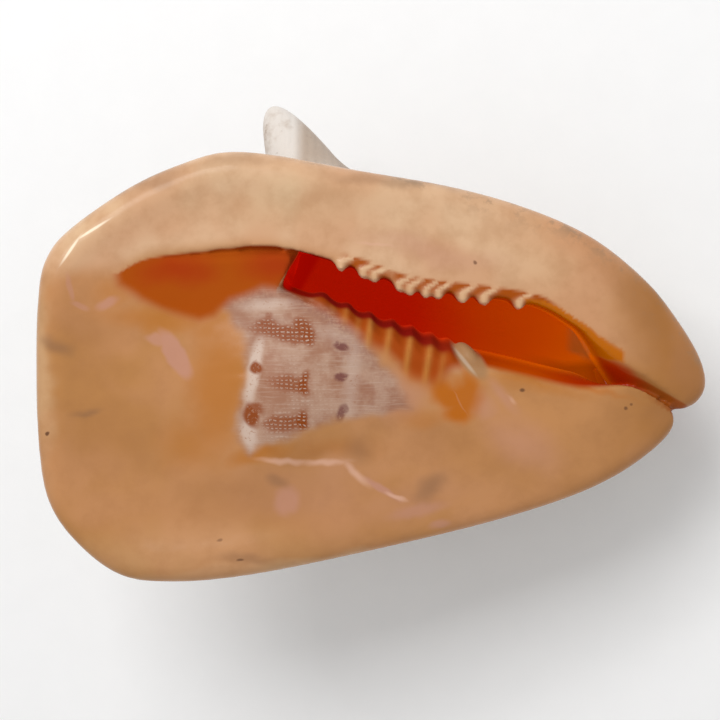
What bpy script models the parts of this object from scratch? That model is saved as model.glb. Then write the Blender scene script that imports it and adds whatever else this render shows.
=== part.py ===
"""Horned helmet conch shell, one grown piece, lying on its back with the aperture up.

The shell is modelled in its own frame and then laid down as it rests. In its own
frame X runs along the shell's axis from the spire to the siphonal canal, +Y points to
the outer lip and +Z is the ventral side, where the shield and the aperture are.
An angle round the axis is 0 at the lip (+Y), -90 at the back (-Z), -180 on the
columellar side (-Y) and -270 under the shield (+Z). The shell grows towards +angle.

Sizes inside the functions are millimetres, and every mesh is built in metres.
"""

import math

import bmesh
import bpy
import numpy as np
from mathutils import Matrix, Vector

MM = 0.001

# Driving dimensions, in millimetres and degrees.
SHIELD_Z = 38.0
SHIELD_EDGE_RADIUS = 5.6
LIP_EDGE_RADIUS = 7.6
UNDERSIDE_DROP = 20.0
RIM_HEIGHT = 1.4
RIM_INSET = 9.0
DISH_DEPTH = 1.4
CUSHION_DEPTH = 3.5
FRONT_FALL = 5.0
APEX_X = 56.0
RADIAL_GROWTH = 1.75
WALL = 5.0
SPIRE_TURNS = 3
LIP_ANGLE = 22.0
CHAMBER_END = -290
KNOB_ANGLES = (-22, -196)
HORN_TIP_RADIUS = 4.6
HORN_LEAN = 0.5
HORN_FLATNESS = 0.9
HORN_FLARE = 7.0
HORN_BASE_SHIFT = 7.0
HORN_ROOT = 14.0
FOLD_HEIGHT = 2.2
VOXEL = 1.6
BODY_SMOOTHING = 8
EDGE_SMOOTHING = 3
TRIANGLES = 9000
REST_PITCH = 15.264
REST_ROLL = 0.855
FACET_DEPTH = 0.8
SHELL_COLOUR = (0.62, 0.31, 0.15, 1)
SHELL_ROUGHNESS = 0.28

# Outline of the shield, seen from the ventral side, as (x, y).
SHIELD_OUTLINE = [
    (-0.9, 33.2), (2, 48), (11.3, 59.6), (34.8, 75.8), (55.2, 84.8), (70.6, 88.8),
    (88.8, 87.6), (119.1, 82.2), (156.4, 75.9), (185.9, 67.6), (211.2, 56.2), (231.6, 40.2),
    (244, 24.8), (252.6, 10), (254.6, -0.7), (250.8, -7.3), (245.7, -9.8), (243.2, -15.4),
    (235, -24.6), (218.7, -35.6), (196.5, -44.9), (161.3, -55.2), (111, -66.4), (75.6, -73),
    (48.4, -75), (29.8, -72), (13.4, -59.4), (3.2, -43.9), (-0.5, -22.5), (-1.4, 5),
]
# Swelling of the body under the glaze, as (x, y, half length, half width, height).
SWELLING = (101, 1, 35, 31, 9.2)
# Edge of the aperture on the outer lip, without its teeth, and on the columella.
LIP_EDGE = [
    (30, 42), (41, 47.6), (60, 50.2), (84, 52.2), (98, 49.8), (112, 46.8), (125, 42.6),
    (140, 37.2), (155, 35), (172, 33), (190, 29.5), (204, 21.5), (220, 11), (237, 1), (252, -8.5),
]
COLUMELLA_EDGE = [
    (30, 40), (45, 36.5), (65, 36), (84, 37.5), (93, 37.8), (108, 32), (126, 26.3),
    (142, 21.2), (158, 15.6), (175, 11.8), (198, 6.2), (217, 2), (228, -1.4), (237, -6),
    (252, -13.5),
]
# Floor of the aperture's cut, from the shallow posterior recess to the open slot.
SLOT_FLOOR = [
    (30, 37.5), (36, 35), (50, 31), (68, 27.5), (84, 22), (93, 8), (100, -8), (200, -8),
    (222, 0), (240, 8), (252, 10),
]
# Teeth on the outer lip, as (x, how far it stands out, half its width).
TEETH = [
    (114.3, 2.8, 2.0), (123.4, 3.2, 1.7), (126.8, 3.4, 1.9), (136.4, 2.6, 1.6),
    (140.4, 3.8, 2.0), (146.4, 3.2, 1.6), (151, 3.4, 2.0), (160, 3.8, 2.4),
    (168.2, 3.8, 2.4), (181.4, 2.4, 1.9),
]
# Folds across the columella, as x.
FOLDS = [108.5, 117, 125.4, 134, 141.6, 149, 155.5]
# Profile of the last whorl at the lip, as (x, radius, axial growth in a turn).
WHORL_PROFILE = [
    (86.5, 40.2, 1.8), (87.2, 47, 1.8), (90, 56, 1.8), (95.5, 64.5, 1.8), (102, 69.5, 1.8), (109, 71.6, 1.8),
    (118, 71.8, 1.76), (135, 69.4, 1.68), (150, 66.2, 1.59), (170, 60.6, 1.46),
    (190, 52, 1.35), (206, 42, 1.25), (219, 31.5, 1.17), (228, 22, 1.12), (233, 12, 1.08),
    (235, 2, 1.05),
]
SHOULDER_X = 109.0
# Horns on the shoulder, as (angle, height), and the knobs of the spire.
HORNS = [(-9, 44.5), (-60, 38), (-111, 35.5), (-160, 20), (-208, 11)]
SPIRE_KNOBS = [(-318, 5), (-372, 8), (-424, 7), (-474, 6), (-522, 5), (-570, 5), (-640, 4)]
# Rows of low knobs in front of the shoulder, as (x at the lip, angular spacing, height, half width).
KNOB_ROWS = [(149, 29, 7.0, 8.5), (186, 25, 5.0, 7.0)]
# The pale knob at the end of the folds, as its place, its half sizes and its turn about Z and X.
COLUMELLA_KNOB = ((163.5, 12.5, 30), (3.6, 6.8, 5.5), (28, -35))
# Path of the siphonal canal, which turns up towards the back, as (x, y, z, outer radius).
CANAL = [
    (176, 6, 2, 34), (198, 5, 0, 28.5), (214.5, 2.5, -4.5, 23.5), (225.5, -2, -12, 19.5),
    (231, -6, -22, 16.4), (233.5, -9, -32.5, 14), (233.5, -11, -42, 12.4),
]
# Path of the canal's channel, which comes out through the spout's front, as (x, y, z, radius).
CHANNEL = [
    (180, 14, 2, 9), (202, 7, 3, 8), (218, 3, 4, 6.5), (228, 0.5, 4, 5.8), (236, -2.5, 3, 5.5), (241.5, -5, -5, 5.3),
    (244, -7.5, -16, 5.3), (245, -9.5, -30, 5.4), (243.5, -11, -43, 5.8), (242, -12, -57, 6.2),
]


def spline(points, count, closed=False):
    """count points on the smooth curve through the given ones (a Catmull-Rom spline)."""
    p = np.array(points, float)
    if closed:
        p = np.vstack([p[-1], p, p[0], p[1]])
    else:
        p = np.vstack([2 * p[0] - p[1], p, 2 * p[-1] - p[-2]])
    spans = len(p) - 3
    t = np.linspace(0, spans, count, endpoint=not closed)
    i = np.minimum(t.astype(int), spans - 1)
    t = (t - i)[:, None]
    a, b, c, d = p[i], p[i + 1], p[i + 2], p[i + 3]
    bend = (2 * a - 5 * b + 4 * c - d) * t**2 + (3 * b - a - 3 * c + d) * t**3
    return 0.5 * (2 * b + (c - a) * t + bend)


def along(points, x):
    """The smooth curve's other column at x, for a curve whose x only grows."""
    fine = spline(points, 12 * len(points))
    return np.interp(x, fine[:, 0], fine[:, 1])


def smoothstep(low, high, x):
    """Rises from 0 at low to 1 at high without a corner."""
    t = np.clip((x - low) / (high - low), 0, 1)
    return t * t * (3 - 2 * t)


def bumps(x, ridges):
    """A row of rounded ridges along x, each as (centre, height, half width)."""
    return sum(height * np.exp(-(((x - centre) / width) ** 2)) for centre, height, width in ridges)


def placed(name, bm):
    """The object that holds the finished mesh."""
    mesh = bpy.data.meshes.new(name)
    bm.to_mesh(mesh)
    bm.free()
    made = bpy.data.objects.new(name, mesh)
    bpy.context.scene.collection.objects.link(made)
    return made


def lofted(name, rings):
    """A closed solid through rings of equally many points, in millimetres."""
    bm = bmesh.new()
    made = [[bm.verts.new(Vector(p) * MM) for p in ring] for ring in rings]
    for first, second in zip(made, made[1:]):
        for k in range(len(first)):
            j = (k + 1) % len(first)
            bm.faces.new((first[k], first[j], second[j], second[k]))
    bm.faces.new(reversed(made[0]))
    bm.faces.new(made[-1])
    bmesh.ops.recalc_face_normals(bm, faces=bm.faces)
    return placed(name, bm)


def outward(angle):
    """The direction that leads away from the axis at that angle."""
    return np.array([0, math.cos(math.radians(angle)), math.sin(math.radians(angle))])


def whorl_point(profile, angle):
    """The last whorl's profile (x, radius), grown back or on to that angle."""
    x, radius, growth = profile.T
    turns = angle / 360
    return APEX_X + (x - APEX_X) * growth**turns, radius * RADIAL_GROWTH**turns


def point_on_whorl(profile, x_at_lip, angle):
    """The place that the profile's point with that x has at that angle."""
    row = profile[np.argmin(np.abs(profile[:, 0] - x_at_lip))][None]
    x, radius = whorl_point(row, angle)
    return np.array([x[0], 0, 0]) + radius[0] * outward(angle)


def knobbed(points, angles, profile):
    """Raises the low knobs on the rings of the last whorl and of the spire."""
    knobs = [(SHOULDER_X, angle, height, height * 1.5) for angle, height in SPIRE_KNOBS]
    for row_x, spacing, height, width in KNOB_ROWS:
        row = np.arange(KNOB_ANGLES[0], KNOB_ANGLES[1], -spacing)
        knobs += [(row_x, angle, height, width) for angle in row]
    for x, angle, height, width in knobs:
        centre = point_on_whorl(profile, x, angle)
        distance = np.linalg.norm(points - centre, axis=-1)
        near = np.abs(angles - angle)[:, None] < 60
        raised = np.where(near, height * np.exp(-((distance / width) ** 2)), 0)
        points = points + raised[..., None] * outward(angle)
    return points


def whorls():
    """The coiled body as one solid sweep, from the tip of the spire to the outer lip."""
    profile = spline(WHORL_PROFILE, 96)
    angles = np.arange(-360 * SPIRE_TURNS, LIP_ANGLE + 0.1, 2.0)
    rings = []
    for angle in angles:
        x, radius = whorl_point(profile, angle)
        rings.append(np.outer(x, [1, 0, 0]) + np.outer(radius, outward(angle)))
    rings = knobbed(np.array(rings), angles, profile)
    closed = []
    for angle, ring in zip(angles, rings):
        past_axis = -2 * outward(angle)
        ends = [past_axis + [ring[-1, 0], 0, 0], past_axis + [ring[0, 0], 0, 0]]
        closed.append(np.vstack([ring, ends]))
    return lofted("whorls", closed)


def horn(angle, height):
    """A blunt horn that flares into the shoulder and leans back towards the spire."""
    profile = spline(WHORL_PROFILE, 96)
    base = point_on_whorl(profile, SHOULDER_X, angle)
    out = outward(angle)
    across = outward(angle + 90)
    rings = []
    for depth in np.concatenate([np.linspace(1, 0.08, 24) ** 1.6 * (height + HORN_ROOT), [0.25]]):
        share = np.clip(depth / height, 0, 1)
        half = math.sqrt(2 * HORN_TIP_RADIUS * depth) * (0.6 + 0.4 * min(height / 36, 1.0))
        flared = smoothstep(0.5, 1.1, share)
        half += HORN_FLARE * height / 40 * flared
        back = HORN_LEAN * (height - min(depth, height)) - HORN_BASE_SHIFT * flared
        centre = base + (height - depth) * out - [back, 0, 0]
        turn = np.linspace(0, 2 * np.pi, 28, endpoint=False)
        long_way = np.outer(half * np.cos(turn), [1, 0, 0])
        short_way = np.outer(half * HORN_FLATNESS * np.sin(turn), across)
        rings.append(centre + long_way + short_way)
    return lofted("horn", rings)


def front_fall(x):
    """How far the ventral face drops towards the canal."""
    return FRONT_FALL * smoothstep(190, 250, x)


def shield_top(x, y, inset):
    """Height of the shield's ventral face, inset millimetres in from its rim."""
    front = smoothstep(90, 170, x)
    rim = RIM_HEIGHT * np.exp(-(((inset - RIM_INSET) / 6) ** 2)) * (1 - 0.8 * front)
    dish = -DISH_DEPTH * smoothstep(10, 30, inset) * (1 - front)
    cushion = -CUSHION_DEPTH * (1 - smoothstep(0, 28, inset)) * front
    middle_x, middle_y, half_length, half_width, height = SWELLING
    swelling = height * np.exp(-(((x - middle_x) / half_length) ** 2) - ((y - middle_y) / half_width) ** 2)
    return SHIELD_Z + rim + dish + cushion + swelling - front_fall(x)


def shield():
    """The thick glazed plate round the aperture, with a rolled rim and a sloping underside."""
    outline = spline(SHIELD_OUTLINE, 220, closed=True)
    spine_x = np.clip(outline[:, 0], 55, 205)
    spine = np.column_stack([spine_x, np.full(len(spine_x), 5.5)])
    reach = np.linalg.norm(spine - outline, axis=1)
    direction = (spine - outline) / reach[:, None]
    radius = SHIELD_EDGE_RADIUS + (LIP_EDGE_RADIUS - SHIELD_EDGE_RADIUS) * smoothstep(10, 50, outline[:, 1])
    rings = []
    for share in np.linspace(0.98, 0.1, 10):
        inset = radius + (reach - radius) * share
        flat = outline + direction * inset[:, None]
        under = shield_top(flat[:, 0], flat[:, 1], inset) - 2 * radius
        rings.append(np.column_stack([flat, under - UNDERSIDE_DROP * share**1.2]))
    for turn in np.radians(np.linspace(-90, 90, 13)):
        inset = radius * (1 - math.cos(turn))
        flat = outline + direction * inset[:, None]
        top = shield_top(flat[:, 0], flat[:, 1], inset)
        rings.append(np.column_stack([flat, top - radius + radius * math.sin(turn)]))
    for share in np.linspace(0.03, 0.98, 34):
        inset = radius + (reach - radius) * share
        flat = outline + direction * inset[:, None]
        rings.append(np.column_stack([flat, shield_top(flat[:, 0], flat[:, 1], inset)]))
    return lofted("shield", rings)


def shoulder_fill():
    """The mass that carries the shield's lip side and its front end on the coiled body."""
    profile = spline(WHORL_PROFILE, 96)
    outline = spline(SHIELD_OUTLINE, 220, closed=True)
    rings = []
    for x in np.arange(72, 243, 3.0):
        beside = outline[np.abs(outline[:, 0] - x) < 3, 1]
        lip_rim = beside.max() - 9
        far_rim = beside.min() + 10
        lip_side = np.interp(x, *whorl_point(profile, 0)) - 1
        far_side = np.interp(x, *whorl_point(profile, -180)) - 1
        low = -8.0
        high = SHIELD_Z - 11 - front_fall(x)
        middle = 0.4 * low + 0.6 * high - 6
        far_top = far_rim + (1 - smoothstep(120, 190, x)) * (-20 - far_rim)
        section = [
            (0.97 * lip_side, low),
            (0.5 * (lip_side + lip_rim), middle),
            (lip_rim, high),
            (0.6 * lip_rim, high + 4),
            (0.8 * far_top, high + 4),
            (far_top, high),
            (0.5 * (far_top - far_side), middle),
            (-0.95 * far_side, low),
        ]
        rings.append([(x, y, z) for y, z in section])
    return lofted("shoulder_fill", rings)


def aperture_section(x):
    """Outline of the aperture's cut at x, as (y, z), round its teeth and folds."""
    lip = along(LIP_EDGE, x)
    columella = along(COLUMELLA_EDGE, x)
    floor = along(SLOT_FLOOR, x)
    tooth = bumps(x, TEETH)
    fold = bumps(x, [(at, FOLD_HEIGHT, 1.9) for at in FOLDS])
    deep = smoothstep(30, 95, x)
    toothed = smoothstep(108, 116, x) * (1 - smoothstep(186, 200, x))
    lip_round = 3.0 + 3.5 * (1 - np.clip(tooth / 3, 0, 1)) * toothed
    columella_round = 24 - 13 * smoothstep(66, 100, x) + 3 * smoothstep(100, 130, x)
    columella_round -= 10 * smoothstep(196, 236, x)
    lip_top = SHIELD_Z + 1.5 - front_fall(x)
    raised = 4 * smoothstep(80, 100, x) * (1 - smoothstep(120, 150, x))
    columella_top = SHIELD_Z + 2.0 + raised - front_fall(x)
    lip_drop = min(3 + 6 * deep, lip_top - floor)
    columella_drop = min(6 + 16 * deep, columella_top - floor)
    low = min(floor, columella_top - columella_drop)
    section = [(columella - columella_round, 2 * SHIELD_Z)]
    for turn in np.radians(np.linspace(0, 90, 14)):
        out = fold * math.sin(turn) ** 0.5
        section.append((
            columella - columella_round + (columella_round + out) * math.sin(turn),
            columella_top - columella_drop + (columella_drop + out) * math.cos(turn),
        ))
    section.append((columella, low - 0.5))
    section.append((0.75 * columella + 0.25 * lip, low - 1.5))
    section.append((0.25 * columella + 0.75 * lip, low - 1.5))
    for share in np.linspace(0, 1, 8):
        height = low + (lip_top - lip_drop - low) * share
        kept = 1 - smoothstep(4, 20, lip_top - lip_drop - height)
        section.append((lip - tooth * kept, height))
    for turn in np.radians(np.linspace(80, 0, 9)):
        section.append((
            lip + lip_round - (lip_round + tooth) * math.sin(turn),
            lip_top - lip_drop + lip_drop * math.cos(turn),
        ))
    section.append((lip + lip_round, 2 * SHIELD_Z))
    return section


def aperture_slot():
    """What the aperture takes away: a recess that deepens into a slot."""
    rings = [[(x, y, z) for y, z in aperture_section(x)] for x in np.arange(30, 257, 0.8)]
    return lofted("aperture_slot", rings)


def chamber():
    """The living chamber, which coils back from the aperture round the columella."""
    profile = spline(WHORL_PROFILE, 96)
    rings = []
    for angle in np.arange(LIP_ANGLE + 6, CHAMBER_END, -4.0):
        x, radius = whorl_point(profile, angle)
        along_x = np.gradient(x)
        along_r = np.gradient(radius)
        length = np.hypot(along_x, along_r)
        wall = WALL + 3 * smoothstep(-20, 20, angle)
        outer_x = (x + along_r / length * wall)[12:84]
        outer_r = (radius - along_x / length * wall)[12:84]
        core = np.maximum(along(COLUMELLA_EDGE, outer_x) - 2, 8)
        core *= RADIAL_GROWTH ** (min(angle + 40, 0) / 360)
        closing = smoothstep(CHAMBER_END + 70, CHAMBER_END, angle)
        inner_r = np.minimum(core + (0.9 * outer_r - core) * closing, outer_r - 1.5)
        reach = np.concatenate([outer_r, inner_r[::-1]])
        stations = np.concatenate([outer_x, outer_x[::-1]])
        rings.append(np.outer(stations, [1, 0, 0]) + np.outer(reach, outward(angle)))
    return lofted("chamber", rings)


def tube(name, centres, radii):
    """A round tube along a path in the canal's plane."""
    tangents = np.gradient(centres, axis=0)
    tangents /= np.linalg.norm(tangents, axis=1)[:, None]
    turn = np.linspace(0, 2 * np.pi, 28, endpoint=False)
    rings = []
    for centre, radius, tangent in zip(centres, radii, tangents):
        first = np.cross(tangent, [0, 1.0, 0])
        first /= np.linalg.norm(first)
        second = np.cross(tangent, first)
        circle = np.outer(np.cos(turn), first) + np.outer(np.sin(turn), second)
        rings.append(centre + radius * circle)
    return lofted(name, rings)


def canal_spout():
    """The outside of the siphonal canal, rounded over at its mouth."""
    path = spline(CANAL, 40)
    centres = list(path[:, :3])
    radii = list(path[:, 3])
    ahead = centres[-1] - centres[-2]
    ahead /= np.linalg.norm(ahead)
    for turn in np.radians([30, 55, 75, 88]):
        centres.append(path[-1, :3] + ahead * 0.4 * radii[39] * math.sin(turn))
        radii.append(radii[39] * (0.35 + 0.65 * math.cos(turn)))
    return tube("canal_spout", np.array(centres), np.array(radii))


def canal_channel():
    """The open channel along the front of the siphonal canal."""
    path = spline(CHANNEL, 48)
    return tube("canal_channel", path[:, :3], path[:, 3])


def columella_knob():
    """The pale swelling where the last fold meets the edge of the aperture."""
    bm = bmesh.new()
    bmesh.ops.create_uvsphere(bm, u_segments=24, v_segments=16, radius=1.0)
    middle, half_sizes, (about_z, about_x) = COLUMELLA_KNOB
    tilt = Matrix.Rotation(math.radians(about_z), 4, "Z") @ Matrix.Rotation(math.radians(about_x), 4, "X")
    place = Matrix.Translation(middle) @ tilt @ Matrix.Diagonal((*half_sizes, 1))
    bmesh.ops.transform(bm, matrix=Matrix.Scale(MM, 4) @ place, verts=bm.verts)
    return placed("columella_knob", bm)


def applied(made):
    """The object with its modifiers applied."""
    graph = bpy.context.evaluated_depsgraph_get()
    mesh = bpy.data.meshes.new_from_object(made.evaluated_get(graph))
    made.modifiers.clear()
    made.data = mesh
    return made


def fused(name, pieces, voxel):
    """One skin round overlapping solids."""
    bm = bmesh.new()
    for piece in pieces:
        bm.from_mesh(piece.data)
        bpy.data.objects.remove(piece)
    made = placed(name, bm)
    remesh = made.modifiers.new("fuse", "REMESH")
    remesh.mode = "VOXEL"
    remesh.voxel_size = voxel * MM
    return applied(made)


def carved(solid, cutter):
    cut = solid.modifiers.new("carve", "BOOLEAN")
    cut.operation = "DIFFERENCE"
    cut.solver = "EXACT"
    cut.object = cutter
    made = applied(solid)
    bpy.data.objects.remove(cutter)
    return made


def smoothed(made, times):
    smooth = made.modifiers.new("smooth", "SMOOTH")
    smooth.factor = 0.5
    smooth.iterations = times
    return applied(made)


def grown_shell(voxel, body_smoothing, edge_smoothing):
    """The whole shell in its own frame."""
    body = [whorls(), shield(), shoulder_fill(), canal_spout()]
    body += [horn(angle, height) for angle, height in HORNS]
    solid = smoothed(fused("solid", body, voxel), body_smoothing)
    hollow = fused("hollow", [aperture_slot(), chamber(), canal_channel()], voxel)
    open_shell = carved(solid, hollow)
    shell = fused("shell", [open_shell, columella_knob()], voxel)
    return smoothed(shell, edge_smoothing)


def simplified(made, triangles):
    thin = made.modifiers.new("thin", "DECIMATE")
    thin.ratio = triangles / sum(len(face.vertices) - 2 for face in made.data.polygons)
    thin.use_collapse_triangulate = True
    return applied(made)


def laid_down(shell):
    """Lays the shell on two dorsal horns and its canal, each worn flat where it rests."""
    pitch = Matrix.Rotation(math.radians(REST_PITCH), 4, "Y")
    roll = Matrix.Rotation(math.radians(REST_ROLL), 4, "X")
    shell.data.transform(pitch @ roll)
    low = min(vertex.co.z for vertex in shell.data.vertices)
    worn = bmesh.new()
    bmesh.ops.create_cube(worn, size=1.0)
    bmesh.ops.translate(worn, vec=(0, 0, low + FACET_DEPTH * MM - 0.5), verts=worn.verts)
    rested = carved(shell, placed("worn", worn))
    corners = np.array([vertex.co for vertex in rested.data.vertices])
    lowest, highest = corners.min(axis=0), corners.max(axis=0)
    centre = (lowest + highest) / 2
    rested.data.transform(Matrix.Translation((-centre[0], -centre[1], -lowest[2])))
    return rested


def glazed_shell():
    material = bpy.data.materials.new("shell")
    material.use_nodes = True
    surface = material.node_tree.nodes["Principled BSDF"]
    surface.inputs["Base Color"].default_value = SHELL_COLOUR
    surface.inputs["Roughness"].default_value = SHELL_ROUGHNESS
    return material


def main():
    for old in list(bpy.data.objects):
        bpy.data.objects.remove(old)
    shell = grown_shell(VOXEL, BODY_SMOOTHING, EDGE_SMOOTHING)
    shell = laid_down(simplified(shell, TRIANGLES))
    shell.data.materials.clear()
    shell.data.materials.append(glazed_shell())


main()
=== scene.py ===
"""Looks of the horned helmet conch shell: its grown forms in fine detail, its glaze and its markings.

The shell's own frame is the one its forms are laid out in. X runs along its axis from the
spire to the siphonal canal, +Y points to the outer lip and +Z is the ventral side with the
shield and the aperture. Sizes are millimetres there, and every mesh is built in metres.
"""

import functools
from math import cos, pi, radians, sin, sqrt

import bmesh
import bpy
import numpy as np
from mathutils import Matrix, Vector, noise
from mathutils.bvhtree import BVHTree


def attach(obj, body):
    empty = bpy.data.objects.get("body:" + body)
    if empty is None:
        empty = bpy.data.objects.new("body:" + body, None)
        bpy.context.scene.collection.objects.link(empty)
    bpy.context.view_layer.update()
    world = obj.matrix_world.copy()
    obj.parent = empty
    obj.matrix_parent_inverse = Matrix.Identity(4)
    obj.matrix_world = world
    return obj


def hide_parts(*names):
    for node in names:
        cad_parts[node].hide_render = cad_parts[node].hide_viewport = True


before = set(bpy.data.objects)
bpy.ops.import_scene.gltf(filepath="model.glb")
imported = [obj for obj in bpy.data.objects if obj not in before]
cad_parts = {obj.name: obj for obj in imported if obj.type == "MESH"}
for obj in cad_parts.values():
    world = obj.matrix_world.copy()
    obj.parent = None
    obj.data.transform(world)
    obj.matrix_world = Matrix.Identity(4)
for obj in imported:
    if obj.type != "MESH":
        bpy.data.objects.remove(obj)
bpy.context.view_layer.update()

MM = 0.001

# Driving dimensions of the forms, in millimetres and degrees.
SHIELD_Z = 38.0
SHIELD_EDGE_RADIUS = 5.6
LIP_EDGE_RADIUS = 7.6
UNDERSIDE_DROP = 20.0
RIM_HEIGHT = 1.4
RIM_INSET = 9.0
DISH_DEPTH = 1.4
CUSHION_DEPTH = 3.5
FRONT_FALL = 5.0
APEX_X = 56.0
RADIAL_GROWTH = 1.75
WALL = 5.0
SPIRE_TURNS = 3
LIP_ANGLE = 22.0
CHAMBER_END = -290
KNOB_ANGLES = (-22, -196)
HORN_TIP_RADIUS = 4.6
HORN_LEAN = 0.5
HORN_FLATNESS = 0.9
HORN_FLARE = 7.0
HORN_BASE_SHIFT = 7.0
HORN_ROOT = 14.0
FOLD_HEIGHT = 2.2
# How finely the forms are fused, how often each skin is smoothed, and how many triangles are kept. The
# mesh is thinned only below these heights, behind the front and in front of it.
VOXEL = 1.0
BODY_SMOOTHING = 18
EDGE_SMOOTHING = 3
TRIANGLES = 185000
THINNED_BELOW = 26
THINNED_BELOW_IN_FRONT = 10
FRONT_X = 200

# Outline of the shield, seen from the ventral side, as (x, y).
SHIELD_OUTLINE = [
    (-0.9, 33.2), (2, 48), (11.3, 59.6), (34.8, 75.8), (55.2, 84.8), (70.6, 88.8), (88.8, 87.6),
    (119.1, 82.2), (156.4, 75.9), (185.9, 67.6), (211.2, 56.2), (231.6, 40.2), (244, 24.8), (252.6, 10),
    (254.6, -0.7), (250.8, -7.3), (245.7, -9.8), (243.2, -15.4), (235, -24.6), (218.7, -35.6),
    (196.5, -44.9), (161.3, -55.2), (111, -66.4), (75.6, -73), (48.4, -75), (29.8, -72), (13.4, -59.4),
    (3.2, -43.9), (-0.5, -22.5), (-1.4, 5),
]
# Swelling of the body under the glaze, as (x, y, half length, half width, height).
SWELLING = (101, 1, 35, 31, 9.2)
# Edge of the aperture on the outer lip, without its teeth, and on the columella.
LIP_EDGE = [
    (30, 42), (41, 47.6), (60, 50.2), (84, 52.2), (98, 49.8), (112, 46.8), (125, 42.6), (140, 37.2),
    (155, 35), (172, 33), (190, 29.5), (204, 21.5), (220, 11), (237, 1), (252, -8.5),
]
COLUMELLA_EDGE = [
    (30, 40), (45, 36.5), (65, 36), (84, 40), (93, 41), (97, 39), (102, 36.8), (108, 34), (116, 30.4),
    (126, 26.3), (142, 21.2), (158, 15.6), (175, 11.8), (198, 6.2), (217, 2), (228, -1.4), (237, -6),
    (252, -13.5),
]
# Floor of the aperture's cut, from the shallow posterior recess to the open slot.
SLOT_FLOOR = [
    (30, 38), (36, 37.2), (50, 35.5), (68, 34), (84, 32.5), (95.2, 31), (96.6, 2), (97.5, -8), (200, -8),
    (222, 0), (240, 8), (252, 10),
]
# Where the shallow recess starts to sink from the face, as (x, y).
RECESS_FOOT = [
    (30, 40), (33, 35), (41, 29.5), (50, 25.5), (60, 23), (68, 25), (76, 31), (85, 34), (95, 34), (100, 32),
]
# Teeth on the outer lip, as (x, how far it stands out, half its width).
TEETH = [
    (114.3, 4.4, 1.8), (122.6, 5.4, 1.7), (126.9, 5.6, 1.7), (136.2, 4.4, 1.6),
    (140.4, 6.2, 1.8), (146.4, 5.4, 1.6), (151.2, 5.6, 1.7), (160.2, 6.2, 2.1),
    (168.3, 6.2, 2.1), (181.5, 4.4, 1.9),
]
# Folds across the columella, as x.
FOLDS = [108.5, 117, 125.4, 134, 141.6, 149, 155.5]
# Profile of the last whorl at the lip, as (x, radius, axial growth in a turn).
WHORL_PROFILE = [
    (86.5, 40.2, 1.8), (87.2, 47, 1.8), (90, 56, 1.8), (95.5, 64.5, 1.8), (102, 69.5, 1.8), (109, 71.6, 1.8),
    (118, 71.8, 1.76), (135, 69.4, 1.68), (150, 66.2, 1.59), (170, 60.6, 1.46), (190, 52, 1.35),
    (206, 42, 1.25), (219, 31.5, 1.17), (228, 22, 1.12), (233, 12, 1.08), (235, 2, 1.05),
]
SHOULDER_X = 109.0
# Horns on the shoulder, as (angle, height), and the knobs of the spire.
HORNS = [(-9, 44.5), (-60, 38), (-111, 35.5), (-160, 20), (-208, 11)]
SPIRE_KNOBS = [(-318, 5), (-372, 8), (-424, 7), (-474, 6), (-522, 5), (-570, 5), (-640, 4)]
# Rows of low knobs in front of the shoulder, as (x at the lip, angular spacing, height, half width).
KNOB_ROWS = [(149, 29, 7.0, 8.5), (186, 25, 5.0, 7.0)]
# The pale knob at the end of the folds, as its place, its half sizes and its turn about Z and X.
COLUMELLA_KNOB = ((163.2, 10.6, 29.2), (3.2, 7.4, 5.4), (38, -28))
# Path of the siphonal canal, which turns up towards the back, as (x, y, z, outer radius).
CANAL = [
    (176, 6, 2, 34), (198, 5, 0, 28.5), (214.5, 2.5, -4.5, 23.5), (225.5, -2, -12, 19.5),
    (231, -6, -22, 16.4), (233.5, -9, -32.5, 14), (233.5, -11, -42, 12.4),
]
# Path of the canal's channel, which comes out through the spout's front, as (x, y, z, radius).
CHANNEL = [
    (180, 14, 2, 9), (202, 7, 3, 8), (218, 3, 4, 6.5), (228, 0.5, 4, 5.8), (236, -2.5, 3, 5.5),
    (241.5, -5, -5, 5.3), (244, -7.5, -16, 5.3), (245, -9.5, -30, 5.4), (243.5, -11, -43, 5.8),
    (242, -12, -57, 6.2),
]
# Where the slot's cut runs, and how far its left end leans, along x for each step along y from its middle.
SLOT_X = (30, 257)
SLOT_STEP = 0.8
SLOT_END_LEAN = 0.58
SLOT_END_Y = 45.0
# Outline of the gap at the canal's end, as (x, y).
CANAL_NOTCH = [
    (239.3, -8.2), (241, -9.1), (243, -9.5), (246, -9.2), (258, -9), (258, -26), (246, -24), (240.6, -18.2),
    (241.8, -15), (241.7, -13), (240.9, -10.6),
]

# How the shell lies on its back: its turns in degrees and its shift.
REST_PITCH = 15.264
REST_ROLL = 0.855
REST_SHIFT = (-129.631, -19.009, 107.626)
# The radius at which lengths along the growth are measured.
COIL_RADIUS = 60.0

# Framing, in millimetres.
FRAME_WIDTH = 271.1
FRAME_CENTRE = (121.6, 9.4)
LENS = 85.0
SENSOR = 36.0

# Studio: the floor's half width, sky and paper, and lights as (place, size, watts), in metres.
FLOOR_HALF_WIDTH = 1.5
SKY_STRENGTH = 0.6
PAPER = (0.9, 0.9, 0.9, 1)
PAPER_PALE = (0.93, 0.93, 0.93, 1)
PAPER_ROUGHNESS = 0.9
LIGHT_TARGET = (0, 0, 0.1)
LIGHTS = {
    "key": ((-0.19, 0.63, 1.22), 0.7, 9.5),
    "rim": ((-0.5, 0.42, 0.95), 0.1, 0.5),
}

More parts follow.
